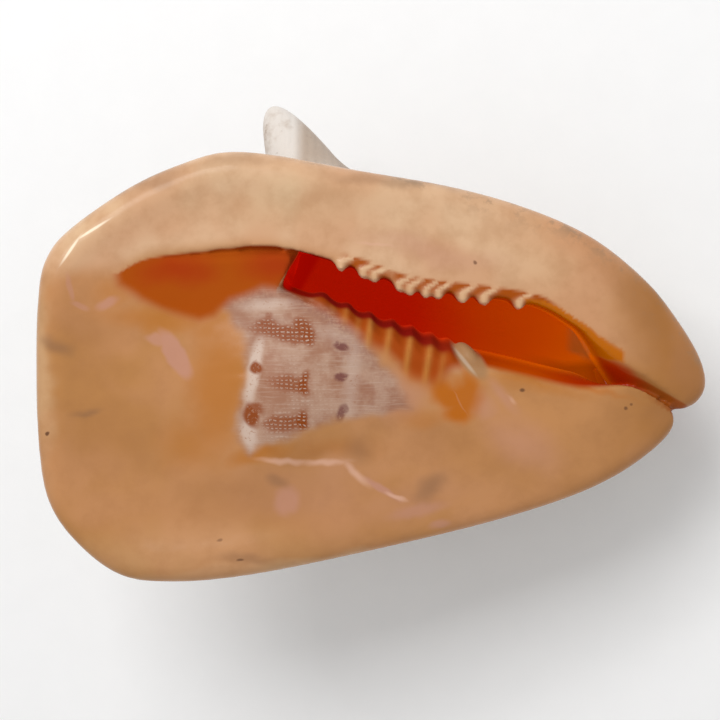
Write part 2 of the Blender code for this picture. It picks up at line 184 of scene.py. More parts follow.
# Colours of the glaze and the shell, as 0 to 255 values.
LIP = (214, 174, 138)
LIP_FRONT = (206, 154, 112)
LIP_TIP = (168, 112, 58)
TAN = (180, 126, 74)
TAN_FRONT = (190, 134, 84)
TAN_TIP = (168, 113, 58)
TAN_DARK = (162, 110, 66)
PEACH = (198, 142, 102)
RIM_PALE_AND_LIT = (216, 184, 146)
AMBER = (178, 108, 36)
AMBER_DEEP = (162, 74, 0)
ORANGE = (182, 98, 12)
PINK_AND_REFLECTION = (190, 137, 116)
GREY_BROWN = (132, 96, 70)
LILAC = (160, 114, 90)
LILAC_PALE = (180, 144, 122)
WHITE_SHELL = (204, 180, 164)
PURPLE = (136, 88, 78)
RED_BROWN = (138, 64, 12)
PLUM = (112, 62, 58)
RED = (222, 46, 2)
ORANGE_RED = (230, 106, 2)
CANAL_BROWN = (255, 142, 0)
RED_RIM = (132, 13, 0)
BROWN_RIM = (182, 68, 0)
CANAL_SHADE = (168, 40, 0)
CANAL_END = (150, 76, 22)
END_PAINTED_GLOW = (222, 12, 0)
END_SHADE = (40, 2, 0)
BLACK = (0, 0, 0)
TOOTH_TIP_PALE_AND_LIT = (232, 196, 158)
CANAL_AMBER = (188, 100, 0)
RECESS = (164, 72, 0)
RECESS_DARK = (160, 42, 0)
FOLD_ORANGE = (162, 66, 0)
FOLD_PALE = (188, 122, 54)
KNOB = (168, 126, 86)
KNOB_HIGHLIGHT = (190, 164, 138)
DARK_PIT = (96, 62, 42)
BACK = (208, 198, 186)
BACK_DARK = (186, 170, 152)
BLOTCH = (140, 92, 62)
FLECK = (172, 136, 108)
BAR_BROWN = (120, 66, 38)
UNDER_RIM = (214, 176, 140)
HORN = (222, 214, 206)
HORN_SHADE = (184, 166, 150)
HORN_SMUDGE = (140, 112, 90)
RIM_DIRT = (150, 122, 96)
PALE_LINE_AND_REFLECTION = (218, 170, 144)
PAINTED_RIM_HIGHLIGHT = (255, 238, 210)

# Gloss. Dull places and the mottling add to the glaze's roughness.
GLAZE_ROUGHNESS = 0.15
DULLNESS = 0.26
MOTTLED_ROUGHNESS = 0.12
GLAZE_IOR = 1.42
SPECULAR_LEVEL = 0.2
# Relief of the cords and the growth lines outside, in millimetres.
CORD_RELIEF = 0.16
GROWTH_RELIEF = 0.7
# Painted glow: an emission in the slot that stands in for light coming through the shell's wall and for
# light reaching deep into the slot, and the throat's share of it.
PAINTED_GLOW_STRENGTH = 0.4
THROAT_PAINTED_GLOW = 0.375

# Where each zone of the looks begins and ends: heights and depths under the face, or x.
GLAZE_EDGE = (24, 28)
LIP_EDGE_DEPTH = 2.4
TOOTH_PALE = 5.0
THROAT_DEPTH = (8, 22)
PAINTED_GLOW_DEPTH = (8, 18)
PAINTED_GLOW_END = (226, 212)
CHAMBER_DEPTH = (12, 16)
SLOT_LEFT_END = (94.8, 95.5)
END_WALL = (102, 98.5)
END_WALL_DEPTH = (4, 7)
THROAT_ORANGE = (140, 186)
THROAT_BROWN = (175, 225)
CANAL_START = (205, 210)
CANAL_FADE = (221, 236)
# How far noise moves the glaze's edge and the netting's rows.
EDGE_WOBBLE = 6.0
NET_WOBBLE = 3.4

# Washes of colour on the ventral face, each as (x, y, half length, half width, turn, softness, strength).
WASHES = {
    # The pale washes: pale glaze on the lip and rims, and painted light along the rims' light-facing crests.
    "pale": [
        (19.2, 57.6, 24.8, 5.6, 47, 0.7, 0.6), (61.4, 73.4, 22.6, 9, 8, 0.8, 0.4),
        (2.6, 9.4, 3.8, 41.4, 0, 0.8, 0.4), (99, -67.8, 60.2, 3, 5, 0.8, 0.35),
        (99, 70.4, 26.4, 8.3, 3, 0.9, 0.8), (156.2, 7.5, 5.3, 2.6, 0, 0.8, 0.5),
        (176.2, 4.9, 18.8, 3, -12, 0.8, 0.4), (144.2, 64, 33.9, 9, -10, 0.9, 0.3),
        (57.6, -62.9, 41.4, 8.3, 2, 0.9, 0.2), (181.8, 46.3, 22.6, 7.5, -22, 0.9, 0.3),
    ],
    # The darker tan washes: partly the glaze's own tone and partly painted shade towards the tips and inside
    # the rim.
    "darker_and_shade": [
        (245.9, 3.8, 5.3, 15.1, 15, 0.7, 0.6), (237.6, -7.5, 8.3, 3.8, 35, 0.8, 0.5),
        (212, -35.8, 33.9, 3.8, 22, 0.9, 0.3), (227, 32, 22.6, 4.5, -45, 0.9, 0.35),
        (20, 20.7, 13.6, 9.8, 0, 0.9, 0.3), (31.2, -20.7, 22.6, 11.3, 0, 0.9, 0.3),
        (114.1, -54.6, 22.6, 7.5, 5, 0.9, 0.2), (155.5, -22.6, 15.1, 8.3, 0, 0.9, 0.4),
        (74.5, -43.3, 18.8, 9, 0, 0.9, 0.4),
    ],
    "rosy": [
        (181.8, -20.7, 12.8, 6.8, -35, 0.9, 0.45), (136.7, -43.3, 22.6, 6, 12, 0.9, 0.25),
        (102.8, -39.5, 22.6, 11.3, 0, 0.9, 0.25), (166.8, -7.5, 5.3, 4.5, -35, 0.8, 0.5),
        (134.8, -3.8, 8.3, 8.3, 0, 0.8, 0.5), (148, 50.8, 22.6, 3.8, -10, 0.9, 0.3),
    ],
    "amber": [
        (69.7, 0, 9.8, 23.3, -8, 0.7, 0.72), (84.7, -26.7, 11.3, 3.4, 10, 0.7, 0.7),
        (48.2, 23.7, 18.8, 4.5, -10, 0.8, 0.7), (28.2, 35.8, 6, 4.5, 0, 0.9, 0.4),
        (110.3, -24.5, 15.1, 3.4, 5, 0.9, 0.35), (61.4, -20.7, 11.3, 9, 0, 0.9, 0.45),
        (69.7, 20.7, 11.3, 6, 0, 0.8, 0.6), (144.2, -13.2, 9, 3.8, 0, 0.8, 0.4),
        (183.7, 1.9, 16.6, 3, -12, 0.9, 0.8),
    ],
    "orange": [
        (153.2, -4.1, 9.8, 4.5, -42, 0.6, 0.95), (158.5, -4.9, 7.5, 6.8, 0, 0.6, 0.9),
        (160.8, -4.1, 3.8, 9.8, -12, 0.6, 0.9), (157.4, -10.2, 5.3, 4.5, -20, 0.6, 0.95),
        (141.2, 6.4, 8.3, 4.5, -45, 0.8, 0.7), (174.3, 7.2, 16.6, 1.3, -14, 0.9, 0.7),
        (204.4, 0.4, 16.6, 1.1, -16, 0.9, 0.5),
    ],
    "smudge": [
        (8.7, 15.1, 4.9, 2.6, -10, 0.8, 0.55), (18.1, -10.5, 4.9, 1.5, 0, 0.8, 0.5),
        (149.8, -38.4, 6.8, 3, 25, 0.8, 0.5), (91.5, -36.9, 3.4, 1.9, 0, 0.8, 0.45),
        (119.7, -24.5, 5.3, 3.8, 20, 0.9, 0.4), (44.4, 77.9, 10.5, 2.6, 25, 0.9, 0.4),
        (134.8, 77.9, 22.6, 1.9, -6, 0.9, 0.4), (78.3, -66.3, 10.5, 1.5, 3, 0.9, 0.4),
        (73.4, 84, 11.3, 1.9, 8, 0.9, 0.3), (129.1, -3.8, 3, 1.9, 0, 0.9, 0.3),
    ],
    "netted": [
        (94.1, -5.6, 8.7, 17.3, 0, 0.5, 0.4), (105.8, -3.8, 11.3, 22.6, 0, 0.6, 0.15),
    ],
    "lattice": [
        (92.6, 19.2, 11.3, 2.3, -3, 0.4, 0.9), (101.3, 20.7, 3.4, 4.1, 10, 0.4, 1),
        (95.3, 3.4, 7.5, 3.8, 0, 0.4, 0.7), (100.5, 3.4, 2.3, 4.5, 0, 0.4, 1),
        (93, -14.7, 7.2, 3.4, 10, 0.4, 0.75), (99, -13.2, 2.3, 4.5, 0, 0.4, 1),
    ],
    "purple": [
        (99, 32, 13.6, 2.6, -30, 0.7, 0.45), (112.2, 25.2, 9.8, 3, -35, 0.7, 0.6),
        (126.1, 0, 9.8, 11.3, 0, 0.8, 0.15), (82.1, 32, 11.3, 3.8, 0, 0.8, 0.35),
        (95.3, 20.7, 12.8, 3, 0, 0.8, 0.3), (118.6, 15.1, 9.8, 4.5, -30, 0.8, 0.4),
    ],
    "recess_red": [
        (52.3, 42.5, 11.3, 4.9, 5, 0.9, 0.7), (91.5, 45.6, 11.3, 6.8, 0, 0.9, 0.7),
    ],
}
# The bare window in the glaze and the shallow recess, as outlines.
WINDOW_OUTLINE = [
    (66.6, 35), (84.7, 38.4), (99, 36.5), (111.1, 30.5), (120.1, 23), (126.9, 13.2), (133.7, 1.9),
    (139.7, -8.7), (121.6, -11.3), (101.7, -16.9), (89.6, -23), (80.9, -26.7), (75.7, -16.9), (76.1, -5.6),
    (78.7, 8.7), (79.4, 17.7), (69.7, 27.5),
]
RECESS_OUTLINE = [
    (29, 47.8), (32, 37.3), (38.8, 31.2), (48.6, 27.5), (60.6, 24.1), (67.4, 26), (73.4, 32.4), (84.7, 36.5),
    (97.5, 35.8), (103.5, 35), (103.5, 60.2), (61.4, 60.2),
]
# The amber band on the lip before the canal, and how wide the canal's dark bottom is, as (x, width).
CANAL_AMBER_OUTLINE = [
    (183.7, 32.4), (191.3, 31.6), (198.8, 29.4), (206.3, 24.1), (211.2, 19.2), (216.1, 16.2), (220.6, 14.7),
    (221.8, 12.4), (221.4, 8.3), (215.7, 9.4), (208.2, 12.4), (196.9, 18.1), (185.6, 25.2),
]
CANAL_DARK_WIDTH = [
    (200, 10), (212, 8), (220, 6.6), (226, 4.4), (232, 2.8), (237, 1.4), (240, 0.5), (260, 0.2),
]
# Sharper marks, as ovals in the same way. The last two are the pale knob and its painted highlight, a
# streak.
# Pink patches, painted reflections of the light on the glaze. Their pink also tints the rosy washes.
PINK_REFLECTIONS = [
    (52, 11.7, 10.2, 3.8, -58, 0.25, 0.8), (46.3, 16.9, 5.3, 2.3, -10, 0.4, 0.7),
    (26.4, 30.9, 4.1, 1.9, 25, 0.5, 0.7), (12.4, 36.5, 1.1, 4.9, 12, 0.5, 0.5),
    (16.2, 29.7, 3.4, 1.1, -22, 0.5, 0.5), (94.1, -43.7, 4.5, 5.3, -20, 0.4, 0.6),
    (129.9, -39.2, 7.5, 1.3, -32, 0.5, 0.8), (143.4, -47.4, 9.8, 2.3, 12, 0.6, 0.5),
    (151.7, -52.7, 3.8, 1.5, 10, 0.6, 0.6), (175.4, -4.1, 6.4, 1.9, -50, 0.9, 0.5),
]
# Pale streaks, painted reflections on the glaze, and faint pale lines in the orange stain.
PALE_LINES_AND_REFLECTIONS = [
    (93.4, -28.6, 8.3, 1.1, -3, 0.8, 0.75), (108.4, -29, 7.5, 1.1, 2, 0.8, 0.75),
    (120.1, -33.1, 5.6, 1.3, -45, 0.8, 0.75), (127.3, 53.1, 6, 0.6, -5, 0.7, 0.4),
    (178.8, -5.6, 1.9, 0.6, -50, 0.8, 0.4), (135.2, -42.2, 3.8, 0.8, -20, 0.6, 0.7),
    (159.3, -6.8, 4.5, 0.3, -60, 0.6, 0.15),
]
# Painted highlights along the rolled rim.
PAINTED_RIM_HIGHLIGHTS = [
    (12.8, 50.8, 5.6, 0.5, 56, 0.6, 0.8), (21.1, 58.4, 6.4, 0.5, 32, 0.6, 0.8),
]
WHITE_STRIPES = [
    (81.7, 4.9, 2.6, 12.8, -12, 0.4, 0.95), (79.8, -18.8, 3, 6, 8, 0.5, 0.9),
    (118.6, 3.8, 2.6, 17.3, -4, 0.8, 0.4), (87, 30.1, 8.3, 1.9, 5, 0.8, 0.6),
    (110.3, 18.8, 7.5, 2.3, -20, 0.9, 0.3),
]
BROWN_SPOTS = [
    (82.8, 6.4, 2.4, 2.3, 0, 0.3, 0.95), (80.9, -11.3, 2.6, 4.5, 15, 0.35, 0.95),
    (82.5, -8.7, 3, 2.3, 0, 0.4, 0.8), (91.5, 37.6, 3, 0.9, -20, 0.5, 0.8),
    (99, 33.5, 7.5, 0.9, -33, 0.6, 0.6), (87.3, 26, 1.9, 1.1, 10, 0.5, 0.5),
    (105.8, 32.4, 4.5, 0.8, -38, 0.6, 0.5),
]
PLUM_SPOTS = [
    (114.5, 14.3, 2.6, 1.4, -12, 0.4, 0.85), (113.3, 15.4, 1.1, 1.1, 0, 0.4, 0.6),
    (114.5, 3, 2.6, 1.5, 8, 0.4, 0.85), (114.5, -10.9, 1.7, 3.4, -14, 0.45, 0.8),
    (116, -8.7, 1.3, 1.9, 0, 0.4, 0.6),
]
PITS_DARK = [
    (4.1, -18.1, 0.8, 0.8, 0, 0.4, 0.9), (182.6, -1.9, 1, 0.8, 0, 0.5, 0.8),
    (222.5, -9, 0.8, 0.6, 0, 0.5, 0.7), (164.9, 45.9, 0.8, 0.7, 0, 0.5, 0.7),
    (76.4, -65.9, 1.4, 0.5, 10, 0.5, 0.7), (224.4, -7.2, 0.5, 0.5, 0, 0.5, 0.6),
    (68.9, -58.4, 0.9, 0.4, 20, 0.5, 0.5),
]
KNOB_PATCH = (163.2, 10, 4, 9, 38, 0.25)
KNOB_HIGHLIGHT_STREAK = (160.9, 9.2, 0.7, 6, 38, 0.7)
# Pitches of the netting in the window.
ROW_PITCH = 1.5
COLUMN_PITCH = 1.75
# Folds as (x, strength), how far they reach from the columella's edge along x, how folds and teeth lean, and
# how far the amber grooves between the teeth reach on to the lip.
FOLD_LINES = [
    (112, 0.4), (116.7, 0.6), (121.6, 0.5), (126.1, 1), (133.3, 0.9), (141.2, 1), (148.7, 1), (154, 0.5),
]
FOLD_REACH = [
    (93, 3.5), (100, 4.5), (108, 6), (116, 8), (126, 12), (133, 13), (141, 19), (149, 20), (157, 12),
    (166, 6), (172, 4),
]
FOLD_SLANT = 0.15
TOOTH_SLANT = 1.2
GROOVE_REACH = 4.6
# Where the random steps of uneven edges start. Unset, they would follow the clock.
NOISE_SEED = 7

# Pitches of the outside's net, blotches and bars, and the blotches' rows as (profile x, half width, phase).
CORD_PITCH = 3.4
THREAD_PITCH = 1.6
BLOTCH_PITCH = 20.0
BLOTCH_BANDS = [(96, 5, 0.3), (118, 5.5, 1.7), (141, 5, 3.0), (166, 5, 4.4), (192, 5, 5.6)]
BAR_PITCH = 21.0


def spline(points, count, closed=False):
    """count points on the smooth curve through the given ones (a Catmull-Rom spline)."""
    p = np.array(points, float)
    if closed:
        p = np.vstack([p[-1], p, p[0], p[1]])
    else:
        p = np.vstack([2 * p[0] - p[1], p, 2 * p[-1] - p[-2]])
    spans = len(p) - 3
    t = np.linspace(0, spans, count, endpoint=not closed)
    i = np.minimum(t.astype(int), spans - 1)
    t = (t - i)[:, None]
    a, b, c, d = p[i], p[i + 1], p[i + 2], p[i + 3]
    bend = (2 * a - 5 * b + 4 * c - d) * t**2 + (3 * b - a - 3 * c + d) * t**3
    return 0.5 * (2 * b + (c - a) * t + bend)


def along(points, x):
    """The smooth curve's other column at x, for a curve whose x only grows."""
    fine = spline(points, 12 * len(points))
    return np.interp(x, fine[:, 0], fine[:, 1])


def smoothstep(low, high, x):
    """Rises from 0 at low to 1 at high without a corner."""
    t = np.clip((x - low) / (high - low), 0, 1)
    return t * t * (3 - 2 * t)


def bumps(x, ridges):
    """A row of rounded ridges along x, each as (centre, height, half width)."""
    return sum(height * np.exp(-(((x - centre) / width) ** 2)) for centre, height, width in ridges)


def put_in_scene(name, data):
    """A new object with that data."""
    made = bpy.data.objects.new(name, data)
    bpy.context.scene.collection.objects.link(made)
    return made


def placed(name, bm):
    """The object that holds the finished mesh."""
    mesh = bpy.data.meshes.new(name)
    bm.to_mesh(mesh)
    bm.free()
    return put_in_scene(name, mesh)


def lofted(name, rings):
    """A closed solid through rings of equally many points, in millimetres."""
    bm = bmesh.new()
    made = [[bm.verts.new(Vector(p) * MM) for p in ring] for ring in rings]
    for first, second in zip(made, made[1:]):
        for k in range(len(first)):
            j = (k + 1) % len(first)
            bm.faces.new((first[k], first[j], second[j], second[k]))
    bm.faces.new(reversed(made[0]))
    bm.faces.new(made[-1])
    bmesh.ops.recalc_face_normals(bm, faces=bm.faces)
    return placed(name, bm)


def outward(angle):
    """The direction that leads away from the axis at that angle."""
    return np.array([0, cos(radians(angle)), sin(radians(angle))])


def whorl_point(profile, angle):
    """The last whorl's profile (x, radius), grown back or on to that angle."""
    x, radius, growth = profile.T
    turns = angle / 360
    return APEX_X + (x - APEX_X) * growth**turns, radius * RADIAL_GROWTH**turns


def point_on_whorl(profile, x_at_lip, angle):
    """The place that the profile's point with that x has at that angle."""
    row = profile[np.argmin(np.abs(profile[:, 0] - x_at_lip))][None]
    x, radius = whorl_point(row, angle)
    return np.array([x[0], 0, 0]) + radius[0] * outward(angle)


def knobbed(points, angles, profile):
    """Raises the low knobs on the rings of the last whorl and of the spire."""
    knobs = [(SHOULDER_X, angle, height, height * 1.5) for angle, height in SPIRE_KNOBS]
    for row_x, spacing, height, width in KNOB_ROWS:
        row = np.arange(KNOB_ANGLES[0], KNOB_ANGLES[1], -spacing)
        knobs += [(row_x, angle, height, width) for angle in row]
    for x, angle, height, width in knobs:
        centre = point_on_whorl(profile, x, angle)
        distance = np.linalg.norm(points - centre, axis=-1)
        near = np.abs(angles - angle)[:, None] < 60
        raised = np.where(near, height * np.exp(-((distance / width) ** 2)), 0)
        points = points + raised[..., None] * outward(angle)
    return points


def whorls():
    """The coiled body as one solid sweep, from the tip of the spire to the outer lip."""
    profile = spline(WHORL_PROFILE, 96)
    angles = np.arange(-360 * SPIRE_TURNS, LIP_ANGLE + 0.1, 2.0)
    rings = []
    for angle in angles:
        x, radius = whorl_point(profile, angle)
        rings.append(np.outer(x, [1, 0, 0]) + np.outer(radius, outward(angle)))
    rings = knobbed(np.array(rings), angles, profile)
    closed = []
    for angle, ring in zip(angles, rings):
        past_axis = -2 * outward(angle)
        ends = [past_axis + [ring[-1, 0], 0, 0], past_axis + [ring[0, 0], 0, 0]]
        closed.append(np.vstack([ring, ends]))
    return lofted("whorls", closed)


def horn(angle, height):
    """A blunt horn that flares into the shoulder and leans back towards the spire."""
    profile = spline(WHORL_PROFILE, 96)
    base = point_on_whorl(profile, SHOULDER_X, angle)
    out = outward(angle)
    across = outward(angle + 90)
    rings = []
    for depth in np.concatenate([np.linspace(1, 0.08, 24) ** 1.6 * (height + HORN_ROOT), [0.25]]):
        share = np.clip(depth / height, 0, 1)
        half = sqrt(2 * HORN_TIP_RADIUS * depth) * (0.6 + 0.4 * min(height / 36, 1.0))
        flared = smoothstep(0.5, 1.1, share)
        half += HORN_FLARE * height / 40 * flared
        back = HORN_LEAN * (height - min(depth, height)) - HORN_BASE_SHIFT * flared
        centre = base + (height - depth) * out - [back, 0, 0]
        turn = np.linspace(0, 2 * np.pi, 28, endpoint=False)
        long_way = np.outer(half * np.cos(turn), [1, 0, 0])
        short_way = np.outer(half * HORN_FLATNESS * np.sin(turn), across)
        rings.append(centre + long_way + short_way)
    return lofted("horn", rings)


def front_fall(x):
    """How far the ventral face drops towards the canal."""
    return FRONT_FALL * smoothstep(190, 250, x)


def shield_top(x, y, inset):
    """Height of the shield's ventral face, inset millimetres in from its rim."""
    front = smoothstep(90, 170, x)
    rim = RIM_HEIGHT * np.exp(-(((inset - RIM_INSET) / 6) ** 2)) * (1 - 0.8 * front)
    dish = -DISH_DEPTH * smoothstep(10, 30, inset) * (1 - front)
    cushion = -CUSHION_DEPTH * (1 - smoothstep(0, 28, inset)) * front
    middle_x, middle_y, half_length, half_width, height = SWELLING
    swelling = height * np.exp(-(((x - middle_x) / half_length) ** 2) - ((y - middle_y) / half_width) ** 2)
    return SHIELD_Z + rim + dish + cushion + swelling - front_fall(x)


def shield():
    """The thick glazed plate round the aperture, with a rolled rim and a sloping underside."""
    outline = spline(SHIELD_OUTLINE, 220, closed=True)
    spine_x = np.clip(outline[:, 0], 55, 205)
    spine = np.column_stack([spine_x, np.full(len(spine_x), 5.5)])
    reach = np.linalg.norm(spine - outline, axis=1)
    direction = (spine - outline) / reach[:, None]
    radius = SHIELD_EDGE_RADIUS + (LIP_EDGE_RADIUS - SHIELD_EDGE_RADIUS) * smoothstep(10, 50, outline[:, 1])
    rings = []
    for share in np.linspace(0.98, 0.1, 10):
        inset = radius + (reach - radius) * share
        flat = outline + direction * inset[:, None]
        under = shield_top(flat[:, 0], flat[:, 1], inset) - 2 * radius
        rings.append(np.column_stack([flat, under - UNDERSIDE_DROP * share**1.2]))
    for turn in np.radians(np.linspace(-90, 90, 13)):
        inset = radius * (1 - cos(turn))
        flat = outline + direction * inset[:, None]
        top = shield_top(flat[:, 0], flat[:, 1], inset)
        rings.append(np.column_stack([flat, top - radius + radius * sin(turn)]))
    for share in np.linspace(0.03, 0.98, 34):
        inset = radius + (reach - radius) * share
        flat = outline + direction * inset[:, None]
        rings.append(np.column_stack([flat, shield_top(flat[:, 0], flat[:, 1], inset)]))
    return lofted("shield", rings)


def shoulder_fill():
    """The mass that carries the shield's lip side and its front end on the coiled body."""
    profile = spline(WHORL_PROFILE, 96)
    outline = spline(SHIELD_OUTLINE, 220, closed=True)
    rings = []
    for x in np.arange(72, 243, 3.0):
        beside = outline[np.abs(outline[:, 0] - x) < 3, 1]
        lip_rim = beside.max() - 9
        far_rim = beside.min() + 10
        lip_side = np.interp(x, *whorl_point(profile, 0)) - 1
        far_side = np.interp(x, *whorl_point(profile, -180)) - 1
        low = -8.0
        high = SHIELD_Z - 11 - front_fall(x)
        middle = 0.4 * low + 0.6 * high - 6
        far_top = far_rim + (1 - smoothstep(120, 190, x)) * (-20 - far_rim)
        section = [
            (0.97 * lip_side, low),
            (0.5 * (lip_side + lip_rim), middle),
            (lip_rim, high),
            (0.6 * lip_rim, high + 4),
            (0.8 * far_top, high + 4),
            (far_top, high),
            (0.5 * (far_top - far_side), middle),
            (-0.95 * far_side, low),
        ]
        rings.append([(x, y, z) for y, z in section])
    return lofted("shoulder_fill", rings)


def aperture_section(x):
    """Outline of the aperture's cut at x, as (y, z), round its teeth and folds."""
    lip = along(LIP_EDGE, x)
    columella = along(COLUMELLA_EDGE, x)
    floor = along(SLOT_FLOOR, x)
    tooth = min(bumps(x, TEETH), 3.5)
    fold = bumps(x, [(at, FOLD_HEIGHT, 1.9) for at in FOLDS])
    deep = smoothstep(30, 95, x)
    shallow = 1 - smoothstep(94, 96.6, x)
    slope = smoothstep(203, 226, x)
    toothed = smoothstep(108, 116, x) * (1 - smoothstep(186, 200, x))
    bottom = lip + (columella + 2.2 - lip) * slope
    lip_round = 1.6 + 1.0 * (1 - np.clip(tooth / 3, 0, 1)) * toothed + lip - bottom
    lip = bottom
    columella_round = 24 - 13 * smoothstep(66, 100, x) + 3 * smoothstep(100, 130, x)
    columella_round -= 10 * smoothstep(196, 236, x)
    foot = along(RECESS_FOOT, x)
    columella_round += (lip - 1.5 - foot - columella_round) * shallow
    columella += (lip - 1.5 - columella) * shallow - 10 * smoothstep(240, 248, x)
    lip_top = SHIELD_Z + 1.5 - front_fall(x)
    raised = 4 * smoothstep(80, 100, x) * (1 - smoothstep(120, 150, x))
    columella_top = SHIELD_Z + 2.0 + raised - front_fall(x)
    lip_drop = min(3 + 2 * deep + 14 * slope, lip_top - floor)
    columella_drop = min(6 + 16 * deep, columella_top - floor)
    columella_drop += (columella_top - floor - columella_drop) * shallow
    columella_drop += (4 - columella_drop) * slope
    low = min(floor, columella_top - columella_drop)
    section = [(columella - columella_round, 2 * SHIELD_Z)]
    for turn in np.radians(np.linspace(0, 90, 14)):
        out = fold * sin(turn) ** 0.5
        section.append((
            columella - columella_round + (columella_round + out) * sin(turn),
            columella_top - columella_drop + (columella_drop + out) * cos(turn),
        ))
    sunk = 1.5 - 1.3 * shallow
    section.append((columella, low - 0.3 * sunk))
    section.append((0.75 * columella + 0.25 * lip, low - sunk))
    section.append((0.25 * columella + 0.75 * lip, low - sunk))
    flatness = 1 - 0.5 * np.clip(tooth / 3, 0, 1)
    for share in np.linspace(0, 1, 8):
        height = low + (lip_top - lip_drop - low) * share
        kept = 1 - smoothstep(4, 20, lip_top - lip_drop - height)
        section.append((lip - tooth * kept, height))
    for turn in np.radians(np.linspace(80, 0, 9)):
        section.append((
            lip + lip_round - (lip_round + tooth) * sin(turn),
            lip_top - lip_drop + lip_drop * cos(turn) ** flatness,
        ))
    section.append((lip + lip_round, 2 * SHIELD_Z))
    lean = -8 * slope
    return [(y + lean * smoothstep(2, 16, columella_top - height), height) for y, height in section]


def aperture_slot():
    """What the aperture takes away: a recess that deepens into a slot."""
    rings = []
    for x in np.arange(*SLOT_X, SLOT_STEP):
        lean = SLOT_END_LEAN * smoothstep(80, 94, x) * (1 - smoothstep(98, 112, x))
        rings.append([(x + lean * (y - SLOT_END_Y), y, z) for y, z in aperture_section(x)])
    return lofted("aperture_slot", rings)


def canal_notch():
    """The gap between the two lobes at the canal's end, cut right through."""
    return lofted("canal_notch", [[(x, y, z) for x, y in CANAL_NOTCH] for z in (-70, 70)])


def chamber():
    """The living chamber, which coils back from the aperture round the columella."""
    profile = spline(WHORL_PROFILE, 96)
    rings = []
    for angle in np.arange(LIP_ANGLE + 6, CHAMBER_END, -4.0):
        x, radius = whorl_point(profile, angle)
        along_x = np.gradient(x)
        along_r = np.gradient(radius)
        length = np.hypot(along_x, along_r)
        wall = WALL + 3 * smoothstep(-20, 20, angle)
        outer_x = (x + along_r / length * wall)[12:84]
        outer_r = (radius - along_x / length * wall)[12:84]
        core = np.maximum(along(COLUMELLA_EDGE, outer_x) - 2, 8)
        core *= RADIAL_GROWTH ** (min(angle + 40, 0) / 360)
        closing = smoothstep(CHAMBER_END + 70, CHAMBER_END, angle)
        inner_r = np.minimum(core + (0.9 * outer_r - core) * closing, outer_r - 1.5)
        reach = np.concatenate([outer_r, inner_r[::-1]])
        stations = np.concatenate([outer_x, outer_x[::-1]])
        rings.append(np.outer(stations, [1, 0, 0]) + np.outer(reach, outward(angle)))
    return lofted("chamber", rings)


def tube(name, centres, radii):
    """A round tube along a path in the canal's plane."""
    tangents = np.gradient(centres, axis=0)
    tangents /= np.linalg.norm(tangents, axis=1)[:, None]
    turn = np.linspace(0, 2 * np.pi, 28, endpoint=False)
    rings = []
    for centre, radius, tangent in zip(centres, radii, tangents):
        first = np.cross(tangent, [0, 1.0, 0])
        first /= np.linalg.norm(first)
        second = np.cross(tangent, first)
        circle = np.outer(np.cos(turn), first) + np.outer(np.sin(turn), second)
        rings.append(centre + radius * circle)
    return lofted(name, rings)


def canal_spout():
    """The outside of the siphonal canal, rounded over at its mouth."""
    path = spline(CANAL, 40)
    centres = list(path[:, :3])
    radii = list(path[:, 3])
    ahead = centres[-1] - centres[-2]
    ahead /= np.linalg.norm(ahead)
    for turn in np.radians([30, 55, 75, 88]):
        centres.append(path[-1, :3] + ahead * 0.4 * radii[39] * sin(turn))
        radii.append(radii[39] * (0.35 + 0.65 * cos(turn)))
    return tube("canal_spout", np.array(centres), np.array(radii))


def canal_channel():
    """The open channel along the front of the siphonal canal."""
    path = spline(CHANNEL, 48)
    return tube("canal_channel", path[:, :3], path[:, 3])


def columella_knob():
    """The pale swelling where the last fold meets the edge of the aperture."""
    bm = bmesh.new()
    bmesh.ops.create_uvsphere(bm, u_segments=24, v_segments=16, radius=1.0)
    middle, half_sizes, (about_z, about_x) = COLUMELLA_KNOB
    tilt = Matrix.Rotation(radians(about_z), 4, "Z") @ Matrix.Rotation(radians(about_x), 4, "X")
    place = Matrix.Translation(middle) @ tilt @ Matrix.Diagonal((*half_sizes, 1))
    bmesh.ops.transform(bm, matrix=Matrix.Scale(MM, 4) @ place, verts=bm.verts)
    return placed("columella_knob", bm)


def applied(made):
    """The object with its modifiers applied."""
    graph = bpy.context.evaluated_depsgraph_get()
    mesh = bpy.data.meshes.new_from_object(made.evaluated_get(graph))
    made.modifiers.clear()
    made.data = mesh
    return made


def fused(name, pieces, voxel):
    """One skin round overlapping solids."""
    bm = bmesh.new()
    for piece in pieces:
        bm.from_mesh(piece.data)
        bpy.data.objects.remove(piece)
    made = placed(name, bm)
    remesh = made.modifiers.new("fuse", "REMESH")
    remesh.mode = "VOXEL"
    remesh.voxel_size = voxel * MM
    return applied(made)


def carved(solid, cutter):
    """The solid with the cutter taken out of it."""
    cut = solid.modifiers.new("carve", "BOOLEAN")
    cut.operation = "DIFFERENCE"
    cut.solver = "EXACT"
    cut.object = cutter
    made = applied(solid)
    bpy.data.objects.remove(cutter)
    return made


def smoothed(made, times):
    """The object with its skin evened out that many times."""
    smooth = made.modifiers.new("smooth", "SMOOTH")
    smooth.factor = 0.5
    smooth.iterations = times
    return applied(made)


